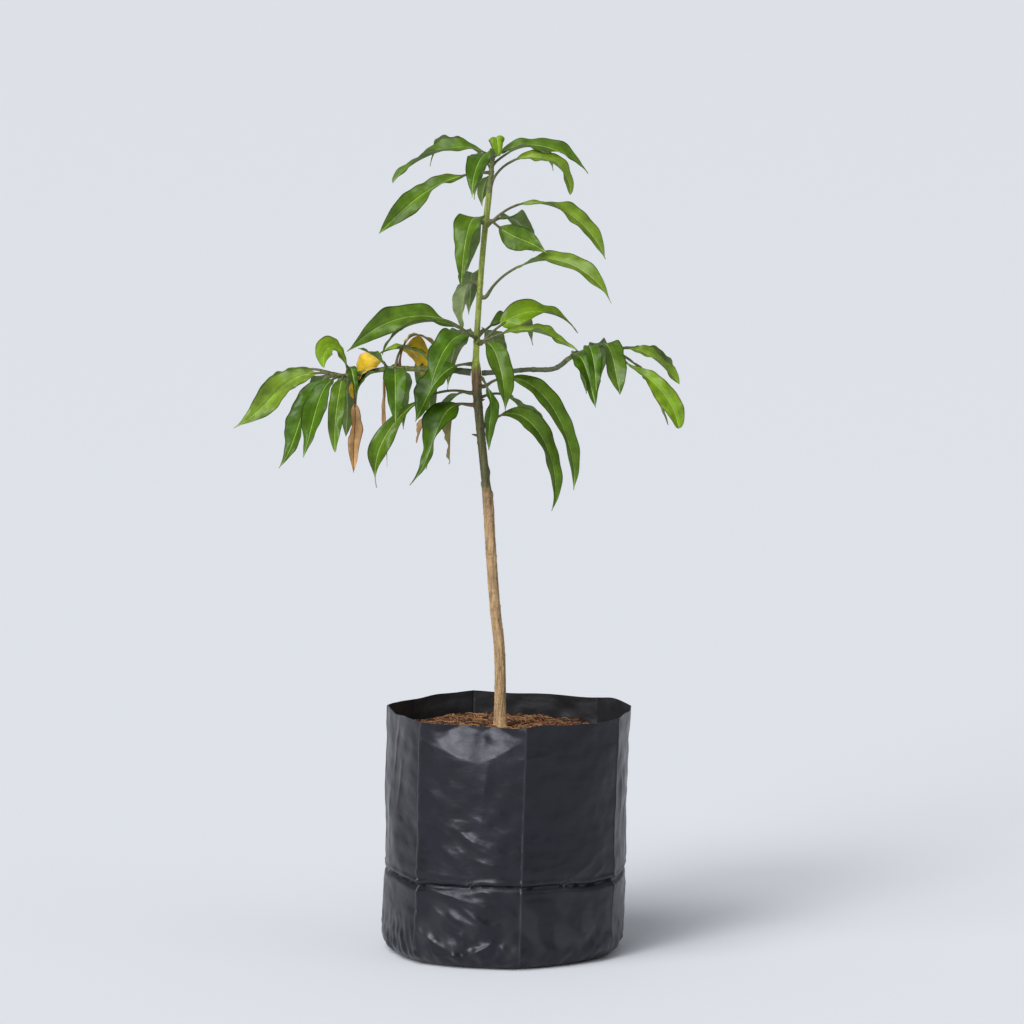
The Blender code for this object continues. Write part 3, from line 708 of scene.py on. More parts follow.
# The film's larger folds: (heading, height, reach, slant in degrees, width, rise)
FILM_FOLDS = (
    (-76, 229, 42, 4, 3.5, 1.4),
    (-118, 79, 78, -13, 3.0, 3.0),
    (-124, 100, 70, -4, 4.0, 1.6),
    (-109, 98, 28, 8, 2.6, 1.5),
    (-107, 62, 48, -30, 2.6, 1.5),
    (-103, 54, 46, -32, 2.4, 1.4),
    (-112, 52, 40, -28, 2.6, 1.2),
    (-100, 44, 44, -26, 2.6, 1.2),
    (-115, 14, 56, -2, 2.6, 3.2),
    (-100, 23, 34, 26, 3.0, 3.2),
    (-101, 188, 90, 84, 12.0, 2.0),
    (-110, 168, 66, -24, 6.0, 0.8),
    (-114, 148, 58, -24, 5.0, 1.0),
    (-103, 136, 62, -20, 5.0, 1.2),
    (-117, 122, 50, -32, 4.0, 1.2),
    (-97, 114, 60, -14, 4.0, 1.2),
    (-70, 108, 60, 10, 4.0, 0.9),
    (-50, 104, 46, 22, 3.5, 1.4),
    (-40, 98, 30, 30, 2.6, 1.4),
    (-163, 222, 74, 84, 3.0, 1.5),
    (-155, 190, 66, 80, 3.0, 1.2),
    (-168, 150, 90, 92, 3.2, 1.3),
    (-20, 190, 120, 90, 4.0, 1.6),
    (-9, 150, 80, 86, 3.0, 1.2),
    (60, 70, 80, -14, 3.0, 1.8),
    (92, 150, 70, 24, 4.5, 1.5),
    (126, 110, 60, -28, 3.5, 1.6),
    (155, 64, 66, 12, 3.0, 1.8),
    (20, 60, 60, -18, 3.0, 1.6),
)
SMALL_FOLDS = 90
# The front left panel's small folds, above and below the waist: (low, high, slant, most rise)
PANEL_FOLDS = ((96, 216, -22, 0.55), (26, 84, -27, 1.1))
PANEL_FOLD_COUNT = 34
PUCKER_HEIGHT = 55.0
BUCKLE_HEADING = -103.5  # where the film is pushed in under the rim
BUCKLE_DEPTH = 8.0
BUCKLE_HEIGHTS = (223.0, 268.0)  # of its lowest and its highest point
BUCKLE_LOWER_SLOPES = (0.31, 0.62)  # on its left and on its right
BUCKLE_UPPER_SLOPES = (0.36, 0.6)
BUCKLE_LEAN_HEIGHT = 34.0
INSIDE_PAINTED_LIGHT = 0.07  # a thin even pale grey over the inside of the bag: painted light that lifts its shaded inner wall


def bag_radius(heading, height):
    """The bag's outline from its middle: flat panels between the creases, part way from an
    arc to its chord and flatter towards the rim, drawn in round the waist by a bell curve."""
    share = height / BAG_HEIGHT
    flatness = BAG_PANEL_FLATNESS[0] + share * (BAG_PANEL_FLATNESS[1] - BAG_PANEL_FLATNESS[0])
    waist = BAG_WAIST_DEPTH * bell(height - BAG_WAIST_HEIGHT, BAG_WAIST_REACH)
    creases = np.array((*BAG_CREASES, BAG_CREASES[0] + 360))
    turned = creases[0] + (heading - creases[0]) % 360
    panel = np.searchsorted(creases, turned, side="right") - 1
    middle = (creases[panel] + creases[panel + 1]) / 2
    half = np.radians(creases[panel + 1] - creases[panel]) / 2
    chord = np.cos(half) / np.cos(np.radians(turned - middle))
    return (BAG_RADIUS - waist) * (1 - flatness * (1 - chord))


def bag_points(heading, height, radius, up):
    """Points at a heading, on the axis of the leaning bag for that height."""
    angle = np.radians(heading)
    right = BAG_LEAN * height / BAG_HEIGHT + radius * np.cos(angle)
    return np.stack([right, radius * np.sin(angle), np.broadcast_to(up, radius.shape)], -1)


def film_folds():
    """The larger folds, small ones all over, and more small ones on the front left panel."""
    yield from FILM_FOLDS
    rng = np.random.default_rng(14)
    for _ in range(SMALL_FOLDS):
        level = rng.choice((rng.uniform(60, 120), rng.uniform(8, 60), rng.uniform(120, 255)))
        reach, slant, width = rng.uniform(18, 60), rng.normal(0, 26), rng.uniform(1.2, 3.4)
        rise = 0.55 * rng.uniform(-0.6, 1)
        yield rng.uniform(-180, 180), level, reach, slant, width, rise
    for low, high, slant, most in PANEL_FOLDS:
        for _ in range(PANEL_FOLD_COUNT):
            heading, level, reach = rng.uniform(-133, -84), rng.uniform(low, high), rng.uniform(30, 70)
            tilt, width, rise = rng.normal(slant, 8), rng.uniform(1.6, 3.4), rng.uniform(0.2, most)
            yield heading, level, reach, tilt, width, rise


def buckle(base, heading, height):
    """The kite-shaped patch that is pushed in under the rim: it leans back in proportion to the
    height above its two lower edges, ends at its two upper ones, and is shallower to the sides."""
    sideways = away(heading, BUCKLE_HEADING)
    off = np.hypot(sideways, 5) - 5
    low, high = BUCKLE_HEIGHTS
    floor = low + np.where(sideways < 0, *BUCKLE_LOWER_SLOPES) * off + 1.2 * ripple(base, 25, seed=17)
    roof = high - np.where(sideways < 0, *BUCKLE_UPPER_SLOPES) * np.clip(off - 8, 0, None)
    lean = np.clip((height - floor) / BUCKLE_LEAN_HEIGHT, 0, 1)
    inside = lean * np.clip((roof - height + 10) / 10, 0, 1)
    return BUCKLE_DEPTH * inside * np.clip(1.6 - off / 56, 0, 1)


def film_relief(heading, height, wrinkle):
    """How far the film stands out or in. It adds up: long soft bulges; a sharp pleat at the
    waist; a thin pressed line down each crease; the folds, each a ridge that falls away by an
    exponential to both sides and dies out at its ends; puckers at the foot; the buckle; and a
    dimple at each drain hole. It fades out towards the underside."""
    base = bag_points(heading, height, bag_radius(heading, height), height)
    relief = 1.2 * ripple(base, 70, seed=11) + 0.35 * ripple(base, 22, seed=12)
    above = height - (BAG_WAIST_HEIGHT + 2.2 * ripple(base * (1, 1, 0), 60, seed=13))
    for level, reach, rise in WAIST_PLEAT:
        relief += rise * bell(above - level, reach)
    for crease in BAG_CREASES:
        relief += CREASE_RISE * bell(away(heading, crease), 0.9)
    for middle, level, reach, slant, width, rise in film_folds():
        tilt = math.radians(slant)
        right, up = away(heading, middle), height - level
        along = right * math.cos(tilt) + up * math.sin(tilt)
        off = up * math.cos(tilt) - right * math.sin(tilt)
        fade = np.clip(1 - (2 * along / reach) ** 2, 0, 1)
        relief += wrinkle / WRINKLE_HEIGHT * rise * fade * np.exp(-np.hypot(off, 0.6) / width)
    puckers = 1.5 * ripple(base, 16, seed=15) - 0.8 * np.abs(ripple(base, 26, seed=16))
    relief += np.clip(1 - height / PUCKER_HEIGHT, 0, 1) * puckers
    relief -= buckle(base, heading, height)
    for hole, level in DRAIN_HOLES:
        relief -= 2.2 * bell(np.hypot(away(heading, hole), height - level), 2.4)
    return relief * np.clip(height / 10, 0.05, 1)


def film_dust_and_crease_highlight(heading, height):
    """How dusty and pale the film's outer face is: a little dust near the foot, more round the drain
    holes, and a pale line down each crease, which is a painted highlight along the crease's edge as
    well as stress whitening."""
    base = bag_points(heading, height, bag_radius(heading, height), height)
    dust = 0.07 * np.clip(ripple(base, 30, seed=21), 0, 1) * np.clip(1.2 - height / 90, 0, 1)
    for hole, level in DRAIN_HOLES:
        spot = bell(np.hypot(away(heading, hole), height - level), 6)
        dust = dust + 0.34 * spot * np.clip(ripple(base, 3, seed=22) - 0.1, 0, 1)
    # painted highlight: the pale line down each crease stands for its gleaming edge, along with stress
    # whitening
    for crease in BAG_CREASES:
        dust = dust + 0.06 * bell(away(heading, crease), 0.8)
    return np.clip(dust, 0, 1)


def film_skin(heading, height, wrinkle):
    """The film's outer face from the bag's middle."""
    return bag_radius(heading, height) + film_relief(heading, height, wrinkle)


def bag_headings():
    """Headings evenly round the bag, and close together at each crease."""
    beside = np.array((-0.9, -0.5, -0.2, 0, 0.2, 0.5, 0.9))
    creases = (np.array(BAG_CREASES)[:, None] + beside).reshape(-1)
    even = np.linspace(-180, 180, BAG_AROUND, endpoint=False)
    apart = np.abs(even[:, None] - np.array(BAG_CREASES)).min(axis=1)
    return np.sort(np.concatenate([even[apart > 1.2], creases]))[None, :]


def bag_rings(wall, wrinkle):
    """The film's rings: from the foot's underside, up its rounded corner and its wall, over
    the rim and down inside as far as the potting mix hides it."""
    heading = bag_headings()
    turn = np.linspace(0, math.pi / 2, BAG_FOOT_ROWS)[:, None]
    walls = np.linspace(BAG_FOOT_ROUND, BAG_HEIGHT, BAG_WALL_ROWS)[1:, None]
    height = np.vstack([BAG_FOOT_ROUND * (1 - np.cos(turn)), walls])
    inset = np.vstack([BAG_FOOT_ROUND * (1 - np.sin(turn)), np.zeros_like(walls)])
    rim = bag_points(heading, RIM_WAVE_TOP, bag_radius(heading, RIM_WAVE_TOP), 0)
    rising = np.clip((height - RIM_WAVE_FOOT) / (BAG_HEIGHT - RIM_WAVE_FOOT), 0, 1)
    lift = RIM_WAVE * ripple(rim, 70, seed=31) * rising
    skin = film_skin(heading, height, wrinkle)
    outside = bag_points(heading, height, skin - inset, height + lift)
    shown = height[:, 0] > SOIL_LEVEL - SOIL_COVER
    inside = bag_points(heading, height, skin - wall, height + lift)[shown][::-1]
    deep = np.array(SUNK_HEIGHTS)[:, None]
    sunk = bag_points(heading, deep, bag_radius(heading, deep) - SUNK_INSET, deep)
    return heading, height, np.concatenate([outside, inside, sunk])


class MANGO_OT_grow_bag(bpy.types.Operator):
    """Make the black film grow bag with its creases, pleat, wrinkles and drain holes"""

    bl_idname = "mango.grow_bag"
    bl_label = "Grow Bag"

    def execute(self, context):
        settings = context.scene.mango_tree.bag
        heading, height, rings = bag_rings(settings.wall / MM, settings.wrinkle / MM)
        finish = black_polythene_film(settings)
        bag = Gathered().tube(rings).build("grow_bag_film", [finish], sharp_angle=70)
        # painted light: the inside wall takes a thin even pale grey; the outer face takes dust, and
        # painted highlights down the creases
        dust = np.full(len(bag.data.vertices), INSIDE_PAINTED_LIGHT, np.float32)
        outer = film_dust_and_crease_highlight(heading, height)
        dust[: outer.size] = outer.reshape(-1)
        layer = bag.data.attributes.new("dust", "FLOAT", "POINT")
        layer.data.foreach_set("value", dust)
        place(bag, "film", "grow_bag")
        return {"FINISHED"}


# The potting mix

CRUMB_COUNT = 6800
FIBRE_COUNT = 420


def icosahedron():
    """Twelve corners one away from the middle, the cyclic turns of (1, golden ratio, 0) and its
    mirror images; and the triangles, every three corners an edge apart, wound to face out."""
    golden = (1 + math.sqrt(5)) / 2
    signs = [(one, long) for long in (golden, -golden) for one in (-1, 1)]
    corners = np.array([np.roll((*sign, 0), turn) for turn in range(3) for sign in signs])
    triples = np.array(list(combinations(range(12), 3)))
    a, b, c = corners[triples].transpose(1, 0, 2)
    joined = np.linalg.norm([a - b, b - c, c - a], axis=2).max(axis=0) < 2.1
    inwards = (np.cross(b - a, c - a) * a).sum(axis=1) < 0
    triples[inwards] = triples[inwards, ::-1]
    return corners / math.hypot(1, golden), triples[joined]


def soil_height(points):
    """The mix's surface: a low mound on the left, falling to the bag and more to the right,
    with hollows and lumps."""
    from_middle = np.hypot(points[..., 0] - BAG_LEAN * 0.9, points[..., 1])
    slope = np.clip((from_middle - SOIL_FLAT_RADIUS) / (BAG_RADIUS - SOIL_FLAT_RADIUS), 0, 1)
    mound = 4 * bell(np.hypot(points[..., 0] + 30, points[..., 1] - 20), 70)
    fall = 5 * np.clip((points[..., 0] - 50) / 70, 0, 1)
    lumps = 1.1 * ripple(points, 34, seed=41) + 0.5 * ripple(points, 12, seed=42)
    return SOIL_LEVEL - 1.5 - SOIL_EDGE_DROP * slope + mound - fall + lumps


def soil_places(rng, count, wrinkle, margin):
    """Places spread evenly over the mix: a random heading, and the root of a random share of
    the bag's inside."""
    heading, level = rng.uniform(-180, 180, count), np.full(count, SOIL_LEVEL)
    edge = film_skin(heading, level + 2, wrinkle) - margin
    spots = bag_points(heading, level, edge * np.sqrt(rng.uniform(0, 1, count)), 0.0)
    spots[:, 2] = soil_height(spots * (1, 1, 0))
    return spots


class MANGO_OT_potting_mix(bpy.types.Operator):
    """Fill the bag with coir potting mix: its bed, its crumbs and its loose fibres"""

    bl_idname = "mango.potting_mix"
    bl_label = "Potting Mix"

    def execute(self, context):
        settings = context.scene.mango_tree.mix
        wrinkle = context.scene.mango_tree.bag.wrinkle / MM
        coir = skin_material("coir_pith_crumb", COIR, settings.coir, 0.95)
        # dark crumbs that also paint the shade in the gaps between crumbs
        peat = skin_material("dark_peat_crumb", COIR, settings.peat, 0.95)
        husk = skin_material("pale_husk_crumb", COIR, shade(settings.coir, 2.1), 0.95)
        fibre = skin_material("coconut_fibre", YOUNG_BARK, settings.fibre, 0.8)
        self.make_bed(peat, wrinkle)
        self.make_crumbs(settings.crumb / MM, [coir, peat, husk], wrinkle)
        self.make_fibres(fibre, wrinkle)
        return {"FINISHED"}

    def make_bed(self, finish, wrinkle):
        """A plug inside the bag whose rings close in over the top, at the surface's height."""
        # its dark finish is painted shade for the gaps between the crumbs
        heading = np.linspace(-180, 180, 180, endpoint=False)[None, :]
        walls = np.array((14.0, 60.0, 140.0, 222.0))[:, None]
        sides = bag_points(heading, walls, bag_radius(heading, walls) - 10, walls)
        shares = np.linspace(1, 0.02, 60)[:, None]
        level = np.full_like(shares, SOIL_LEVEL)
        top = bag_points(heading, level, (film_skin(heading, level, wrinkle) - 1.4) * shares, 0.0)
        top[..., 2] = soil_height(top)
        bed = Gathered().tube(np.concatenate([sides, top])).build("potting_mix_bed", [finish])
        place(bed, "potting_mix", "potting_mix")

    def make_crumbs(self, size, finishes, wrinkle):
        """Icosahedra with uneven corners, squashed, turned at random and half sunk."""
        rng = np.random.default_rng(43)
        corners, triangles = icosahedron()
        middles = soil_places(rng, CRUMB_COUNT, wrinkle, margin=4.5)
        width = size / 2 * np.clip(rng.lognormal(-0.1, 0.38, (CRUMB_COUNT, 1, 1)), 0.4, 1.9)
        corners = corners[None] * rng.uniform(0.65, 1.2, (CRUMB_COUNT, 12, 1))
        corners = corners * rng.uniform(0.55, 1.25, (CRUMB_COUNT, 1, 3)) * width
        turn = rng.uniform(0, 2 * math.pi, CRUMB_COUNT)[:, None]
        east = corners[..., 0] * np.cos(turn) - corners[..., 1] * np.sin(turn)
        north = corners[..., 0] * np.sin(turn) + corners[..., 1] * np.cos(turn)
        points = np.stack([east, north, corners[..., 2]], -1) + middles[:, None]
        points[..., 2] += rng.uniform(-0.5, 1.4, (CRUMB_COUNT, 1))
        # four crumbs in ten are dark, which paints in the shade of the gaps between crumbs
        kinds = rng.choice(3, CRUMB_COUNT, p=(0.5, 0.4, 0.1))
        crumbs = Gathered().solids(points, triangles, kinds)
        place(crumbs.build("potting_mix_crumbs", finishes, sharp_angle=20), "potting_mix")

    def make_fibres(self, finish, wrinkle):
        """Short bent hairs that lie on the crumbs: each an arc whose ends dip in."""
        rng = np.random.default_rng(44)
        fibres = Gathered()
        share = np.linspace(-1, 1, 9)[:, None]
        for middle in soil_places(rng, FIBRE_COUNT, wrinkle, margin=16):
            heading, bend = rng.uniform(0, 360), rng.normal(0, 3)
            ahead, side = compass(heading, 0), compass(heading + 90, 0)
            path = middle + rng.uniform(5, 15) * share * ahead + bend * share**2 * side
            path[:, 2] += 2.2 + rng.uniform(0, 1.6) - 2.6 * share[:, 0] ** 2
            radii = rng.uniform(0.16, 0.34) * np.sqrt(1.05 - share[:, 0] ** 2)
            fibres.tube(rings_along(path, radii, 4, side))
        place(fibres.build("potting_mix_fibres", [finish]), "potting_mix")


# Trunk and boughs

TRUNK_SIDES = 64
BARK_STEP = 1.1
SHOOT_SIDES = 32
SHOOT_STEP = 0.9
NODE_SPACING = 13
GRAFT_HEIGHT = 501.0
NODE_HEIGHTS = (372, 428, 551, 568, 590, 604, 618, 636, 659, 666, 708, 723, 787)
LENTICELS = 150  # small corky spots
HEALED_SHOOT = (519.0, 0.0)  # the height and heading of a healed side shoot


def bark_relief(heading, height, depth):
    """How far the bark stands out: furrows along the grain, deep on the rootstock and
    shallow above the graft; a slanting ridge at the graft; a swollen ring at each node;
    lenticels; a knob at the healed shoot and at each leaf; and root buttresses at the soil."""
    angle = np.radians(heading)
    wrapped = on_stem(angle, height / 7, 6)
    old = np.clip((GRAFT_HEIGHT + 6 - height) / 12, 0, 1)
    coarse = depth * (0.35 + 0.65 * old) * np.clip((700 - height) / 100, 0.25, 1)
    furrows = -np.abs(ripple(wrapped, 4.2, seed=51)) + 0.5 * ripple(wrapped, 9, seed=52)
    relief = coarse * (furrows + 0.3 * ripple(wrapped * (1, 1, 3.5), 1.7, seed=53))
    slant = height - GRAFT_HEIGHT - 7 * np.cos(angle - 2.6)
    relief = relief + 0.9 * bell(slant, 2.4) - 0.7 * bell(slant - 3.4, 1.2)
    for count, node in enumerate(NODE_HEIGHTS):
        lean = np.cos(angle - 2.1 * count)
        relief = relief + (0.42 + 0.2 * lean) * bell(height - node - 1.3 * lean, 1.5)
    rng = np.random.default_rng(54)
    for _ in range(LENTICELS):
        middle, level = rng.uniform(-180, 180), rng.uniform(245, 560)
        off = np.hypot(away(heading, middle, 6) / 1.3, height - level)
        relief = relief + 0.28 * bell(off, 0.8)
    level, middle = HEALED_SHOOT
    off = np.hypot(away(heading, middle, 5.5), (height - level) / 1.6)
    relief = relief + 1.5 * bell(off, 3.2)
    for level, middle, _ in TRUNK_MASSES.values():
        off = np.hypot(away(heading, middle, 4), height - level)
        relief = relief + 0.9 * bell(off, 3.0)
    return relief + 0.9 * np.exp(-(height - 240) / 9) * np.cos(3 * angle + 0.8)


class MANGO_OT_trunk(bpy.types.Operator):
    """Make the trunk's bark in relief, from its flare at the mix to its topmost leaves"""

    bl_idname = "mango.trunk"
    bl_label = "Trunk"

    def execute(self, context):
        settings = context.scene.mango_tree.bark
        axis = flared_leader()
        distances = np.arange(0, distance_at_height(axis, TRUNK_TOP), BARK_STEP)
        points, radii = along_axis(axis, distances)
        heading = np.linspace(0, 360, TRUNK_SIDES, endpoint=False)[None, :]
        relief = bark_relief(heading, points[:, 2:3], settings.relief / MM)
        rings = rings_along(points, radii[:, None] + relief, TRUNK_SIDES, np.array((1.0, 0, 0)))
        rings[0, :, 2] -= 4  # the foot goes on into the mix
        finish = trunk_bark_material(settings)
        trunk = Gathered().tube(rings).build("trunk_bark", [finish], sharp_angle=80)
        place(trunk, "bark", "trunk")
        return {"FINISHED"}


def shoot_rings(axis, start, end, seed):
    """A young shoot: its rings swell at each leaf's node and carry shallow furrows."""
    distances = np.arange(start, end, SHOOT_STEP)
    points, radii = along_axis(axis, distances)
    nodes = 0.35 * bell((distances + seed) % NODE_SPACING - NODE_SPACING / 2, 1.4)
    wrapped = on_stem(circle_turns(SHOOT_SIDES), distances[:, None] / 5, 4)
    relief = 0.22 * ripple(wrapped, 3, 60 + seed) + nodes[:, None]
    return rings_along(points, radii[:, None] + relief, SHOOT_SIDES, np.array((0, 1.0, 0)))


class MANGO_OT_boughs(bpy.types.Operator):
    """Make the bark of the two boughs"""

    bl_idname = "mango.boughs"
    bl_label = "Boughs"

    def execute(self, context):
        settings = context.scene.mango_tree.bark
        finish = skin_material("young_green_bark", YOUNG_BARK, settings.bough, 0.55)
        for side, knots, end, seed in (
            ("right", RIGHT_SHOOT, RIGHT_BOUGH_LENGTH, 3),
            ("left", LEFT_SHOOT, LEFT_BOUGH_LENGTH, 8),
        ):
            bark = Gathered().tube(shoot_rings(limb_axis(knots), 0, end, seed))
            place(bark.build(f"{side}_bough_bark", [finish]), "green_bark", f"{side}_bough")
        return {"FINISHED"}


# Shoots, leaf stalks and buds

# (height, heading, reach, radius) of the stubs that the photograph shows on the trunk
STUBS = ((558, 180, 5.5, 1.9), (596, 5, 3.0, 1.8))
DRIED_KINDS = ("dry", "faded")
STALK_WIDTH = 2.7
DRIED_STALK_WIDTH = 2.1


def rooted_leaves():
    """Every leaf with its mass, its root and the point inside its limb where its stalk starts."""
    leader = flared_leader()
    trunk_end = distance_at_height(leader, TRUNK_TOP)
    for name, axis, start, leaves in (
        ("tip_leaves", leader, trunk_end, TIP_LEAVES),
        ("right_shoot_leaves", limb_axis(RIGHT_SHOOT), RIGHT_BOUGH_LENGTH, RIGHT_SHOOT_LEAVES),
        ("left_shoot_leaves", limb_axis(LEFT_SHOOT), LEFT_BOUGH_LENGTH, LEFT_SHOOT_LEAVES),
    ):
        start, end = start + GAP + SHOOT_MARGIN, axis[1][-1] - SHOOT_MARGIN
        for leaf in leaves:
            root = along_axis(axis, start + leaf.along * (end - start))[0]
            yield name, leaf, root, root
    for name, (height, heading, leaves) in TRUNK_MASSES.items():
        point, radius = along_axis(leader, distance_at_height(leader, height))
        out = compass(heading, 0)
        root = point + (radius + 2 * GAP + SPUR_ROOT) * out
        for leaf in leaves:
            yield name, leaf, root, point + 0.4 * radius * out


def stalk_rings(leaf, root, start):
    """A leaf stalk: swollen where it leaves its limb, slim, and then flattening into the
    midrib. Its path is a smooth curve through its start and points of the leaf's own curve."""
    shares = np.array((0.3, 0.65, 1.0)) * leaf.petiole
    curve = leaf_curve(root, leaf, np.concatenate([shares, [leaf.petiole + 0.05]]))[0]
    slim = DRIED_STALK_WIDTH if leaf.kind in DRIED_KINDS else STALK_WIDTH
    knots = [(*start, 5.2)]
    if np.linalg.norm(root - start) > 1:
        knots.append((*root, 4.4))
    for point, width in zip(curve, (1.12 * slim, slim, slim, 0.6 * slim)):
        knots.append((*point, width))
    axis = limb_axis(knots)
    points, radii = along_axis(axis, np.linspace(0, axis[1][-1], 26))
    return rings_along(points, radii, 10, compass(leaf.heading + 90, 0))


def bud_rings(base, direction, size):
    """A bud scale: a ring profile that bulges low and draws out to a point."""
    share = np.linspace(0, 1, 9)
    points = base + size * share[:, None] * direction
    radii = size * 0.3 * np.sqrt(np.clip(1 - share, 0.004, 1)) * (0.75 + 0.9 * share * (1 - share))
    return rings_along(points, radii, 8, np.cross(direction, (0.31, 0.2, 0.93)))


class MANGO_OT_stems(bpy.types.Operator):
    """Make the young shoots, the leaf stalks, the cut stubs and the buds"""

    bl_idname = "mango.stems"
    bl_label = "Shoots and Stalks"

    def execute(self, context):
        settings = context.scene.mango_tree.bark
        shoots = (
            (flared_leader(), distance_at_height(flared_leader(), TRUNK_TOP)),
            (limb_axis(RIGHT_SHOOT), RIGHT_BOUGH_LENGTH),
            (limb_axis(LEFT_SHOOT), LEFT_BOUGH_LENGTH),
        )
        self.make_shoots(settings, shoots)
        self.make_stalks(settings)
        self.make_stubs_and_buds(settings, shoots)
        return {"FINISHED"}

    def make_shoots(self, settings, shoots):
        """The stems that run on from the trunk and the boughs through their leaves."""
        stems = Gathered()
        for seed, (axis, start) in enumerate(shoots, 1):
            stems.tube(shoot_rings(axis, start - 1, axis[1][-1], seed))
        finish = skin_material("leafy_shoot_bark", YOUNG_BARK, settings.shoot, 0.55)
        place(stems.build("leafy_shoots", [finish]), "green_bark")

    def make_stalks(self, settings):
        green = skin_material("leaf_stalk_skin", YOUNG_BARK, settings.stalk, 0.45)
        dried = skin_material("dried_stalk_skin", YOUNG_BARK, settings.dried_stalk, 0.8)
        stalks = Gathered()
        for _, leaf, root, start in rooted_leaves():
            stalks.tube(stalk_rings(leaf, root, start), int(leaf.kind in DRIED_KINDS))
        place(stalks.build("leaf_stalks", [green, dried]), "green_bark")

    def make_stubs_and_buds(self, settings, shoots):
        """Stubs of lost leaves on the trunk, and scaly buds at the shoots' ends."""
        brown = skin_material("dried_bud_scale", YOUNG_BARK, settings.scale, 0.7)
        scales = Gathered()
        leader = shoots[0][0]
        for height, heading, reach, width in STUBS:
            point, radius = along_axis(leader, distance_at_height(leader, height))
            share = np.linspace(0, 1, 8)
            out = 0.5 * radius + (0.5 * radius + reach) * share[:, None]
            taper = width * (1.3 - 1.05 * share**0.8)
            path = point + out * compass(heading, 12)
            scales.tube(rings_along(path, taper, 12, compass(heading + 90, 0)))
        rng = np.random.default_rng(71)
        for (axis, _), count, size in zip(shoots, (9, 5, 5), (9.5, 6.0, 6.0)):
            end = axis[0][-1]
            ahead = end - axis[0][-8]
            ahead /= np.linalg.norm(ahead)
            for _ in range(count):
                aim = ahead + rng.normal(0, 0.32, 3)
                aim /= np.linalg.norm(aim)
                scales.tube(bud_rings(end - 2.2 * ahead, aim, size * rng.uniform(0.6, 1)))
        place(scales.build("bud_scales_and_stubs", [brown]), "green_bark")


# Leaves

# The blades, finer than the source's
BLADE_ROWS = 72
BLADE_HALF_COLUMNS = 10
BLADE_FOLD = 31.0  # degrees that each half stands up beside the midrib
BLADE_TWIST = 11.0  # degrees that it turns to and fro along the midrib
BLADE_SWAY = 1.5
BLADE_THICKNESS = 0.45
FULL_LENGTH = 90.0  # shorter leaves wave and sway less
MIDRIB_HALF_WIDTH = 0.42
VEIN_SPACING = 8.0  # real ones stand 5 mm apart, and show only when drawn this coarse
QUILT_DEPTH = 0.12
SHRIVEL = 1.4  # how far a dried leaf's margins crumple
STALK_RADIUS = 1.25
TIP_HALF_WIDTH = 0.5
TOP, UNDER, RIB, MARGIN, INNER = range(5)  # the places on a leaf that take their own finish


